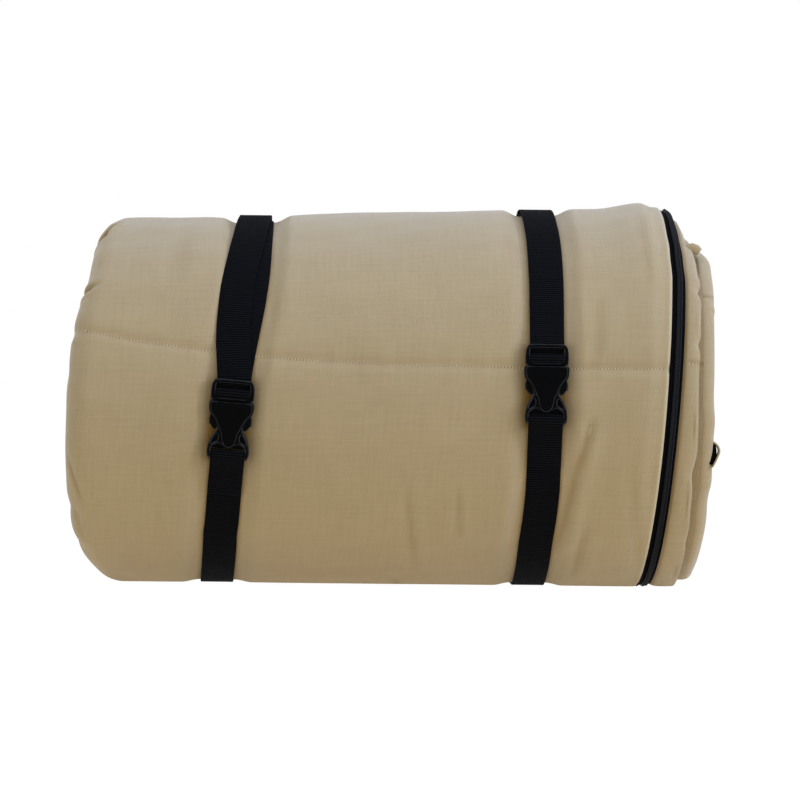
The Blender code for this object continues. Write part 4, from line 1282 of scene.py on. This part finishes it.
cornerTab = {
    "spots": ((219.5, 253.5, 2.6), (222.2, 255.4, 3.9), (225.2, 256.2, 4.2), (228.2, 255.4, 3.8),
        (230.6, 253.6, 2.9)),
    "thick": 2.2, "back": 1.8,
}


def buildTab():
    tree = clothTree(rolled["topCanvas"])
    middle = cornerTab["spots"][2]
    hit = tree.ray_cast(Vector((middle[0] * mm - 3 * mm, -1, middle[1] * mm)), Vector((0, 1, 0)))[0]
    base = hit.y + cornerTab["back"] * mm
    spots = np.array(cornerTab["spots"])
    ahead = np.gradient(spots[:, :2], axis=0)
    ahead /= np.linalg.norm(ahead, axis=1, keepdims=True)
    rings = []
    cloths = []
    for (x, z, half), way in zip(spots, ahead):
        ring = []
        cloth = []
        for turn in np.linspace(0, 2 * np.pi, 17)[:-1]:
            side = half * math.cos(turn)
            y = base - cornerTab["thick"] * mm * math.sin(turn)
            ring.append(((x - way[1] * side) * mm, y, (z + way[0] * side) * mm))
            cloth.append((side * mm, x * mm, 0))
        rings.append(ring)
        cloths.append(cloth)
    return sweptMesh("cornerTab", np.array(rings), canvas, np.array(cloths))


tab = buildTab()
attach(tab, "roll")

# The small canvas loop sewn into the closed side, with a black band behind it as painted shade inside the
# loop

sideLoop = {
    "path": ((235.6, 112.8), (238.8, 112.0), (241.8, 109.0), (242.9, 105.4), (241.4, 101.4), (239.2, 96.6),
        (236.4, 92.0)),
    "front": -119.4, "back": -109.2, "thick": 1.2,
    "loopShadeBand": ((237.4, 111.4), (238.3, 107.0), (238.6, 101.0), (237.0, 95.4)),
}


def buildLoop(name, path, front, back, thick, look):
    # A band that runs along the path of (x, z), open at its front and back edges.
    spots = np.array(path)
    ahead = np.gradient(spots, axis=0)
    ahead /= np.linalg.norm(ahead, axis=1, keepdims=True)
    normal = np.stack([-ahead[:, 1], ahead[:, 0]], axis=-1)
    rings = []
    cloths = []
    run = 0
    for i, (spot, away) in enumerate(zip(spots, normal)):
        outer, inner = spot + away * thick / 2, spot - away * thick / 2
        middle = (front + back) / 2
        ring = [(outer, y) for y in (front, middle, back)] + [(inner, y) for y in (back, middle, front)]
        rings.append([(place[0] * mm, y * mm, place[1] * mm) for place, y in ring])
        run += float(np.linalg.norm(spot - spots[max(i - 1, 0)])) * mm
        cloths.append([(y * mm, run, 0) for place, y in ring])
    return sweptMesh(name, np.array(rings), look, np.array(cloths))


loopPath = smoothRing(np.array(sideLoop["path"]), 2)[:-6]
band = buildLoop("sideLoop", loopPath, sideLoop["front"], sideLoop["back"], sideLoop["thick"], canvas)
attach(band, "roll")
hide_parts("side_loop")
shadeFront, shadeBack = sideLoop["front"] + 0.8, sideLoop["back"] - 0.2
# The black band stands in for the shade inside the loop
loopShadeBand = buildLoop("sideLoopShade", sideLoop["loopShadeBand"], shadeFront, shadeBack, 4.2, tapeCloth)
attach(loopShadeBand, "roll")
print("side loop sewn")

# Camera, lights and ground

def seenDirectly(tree):
    # 1 for what the camera sees, also in a mirror
    path = tree.nodes.new("ShaderNodeLightPath")
    return addMath(tree, "MAXIMUM", path.outputs["Is Camera Ray"], path.outputs["Is Glossy Ray"])


def makeStage():
    scene = bpy.context.scene
    scene.view_settings.view_transform = "Standard"
    lens = bpy.data.cameras.new("view")
    lens.lens = camera["lens"]
    lens.sensor_width = 36
    eye = newObject("view", lens)
    eye.location = (camera["aimX"], -camera["distance"], camera["aimZ"])
    eye.rotation_euler = (math.radians(90), math.radians(camera["roll"]), 0)
    scene.camera = eye

    world = bpy.data.worlds.new("studio")
    world.use_nodes = True
    scene.world = world
    tree = world.node_tree
    background = tree.nodes["Background"]
    background.inputs["Color"].default_value = (1, 1, 1, 1)
    strength = addNode(tree, "Mix", {"Factor": seenDirectly(tree), "A": lights["fill"], "B": 1.0})
    tree.links.new(strength.outputs[0], background.inputs["Strength"])

    for name, place, aim, size, power, tint in lights["lamps"]:
        data = bpy.data.lights.new(name, "AREA")
        data.shape = "RECTANGLE"
        data.size, data.size_y = size
        data.energy = power
        data.color = tint
        lamp = newObject(name, data)
        lamp.location = place
        lamp.rotation_euler = (Vector(aim) - Vector(place)).to_track_quat("-Z", "Y").to_euler()

    ground = bpy.data.meshes.new("floor")
    ground.from_pydata([(-30, -6, 0), (30, -6, 0), (30, 60, 0), (-30, 60, 0)], [], [(0, 1, 2, 3)])
    floor = newObject("floor", ground)
    paint, tree, shader = newMaterial("pale floor", (0.98, 0.90, 0.72), 0.9)
    visible = seenDirectly(tree)
    inputs = {"Factor": visible, "A": (*lights["glowTint"], 1), "B": (1, 1, 1, 1)}
    tone = addNode(tree, "Mix", inputs, data_type="RGBA")
    glow = addNode(tree, "Emission", {"Color": tone.outputs["Result"], "Strength": lights["glowStrength"]})
    below = lights["glowBelow"]
    share = addMath(tree, "MULTIPLY_ADD", visible, lights["floorGlow"] - below, below)
    mix = addNode(tree, "MixShader", {0: share, 1: shader.outputs[0], 2: glow.outputs[0]})
    tree.links.new(mix.outputs[0], tree.nodes["Material Output"].inputs["Surface"])
    ground.materials.append(paint)


lights = {
    "fill": 0.43,
    "floorGlow": 0.95, "glowStrength": 1.04, "glowBelow": 0.40, "glowTint": (1, 0.82, 0.55),
    "lamps": (
        ("overhead", (0.1, -0.6, 2.0), (0, -0.1, 0.1), (2.6, 1.6), 24.5, (0.90, 0.97, 1.20)),
        ("front left", (-1.3, -2.3, 0.3), (0, 0, 0.05), (1.4, 0.5), 4.8, (1.0, 0.94, 0.80)),
        ("front right", (1.5, -2.2, 0.28), (0, 0, 0.05), (1.2, 0.45), 4.2, (1.0, 0.94, 0.80)),
        ("right side", (2.0, -0.9, 0.9), (0.2, -0.05, 0.14), (0.9, 0.9), 17.5, (0.88, 1.0, 1.42)),
    ),
}
makeStage()
print("stage set")
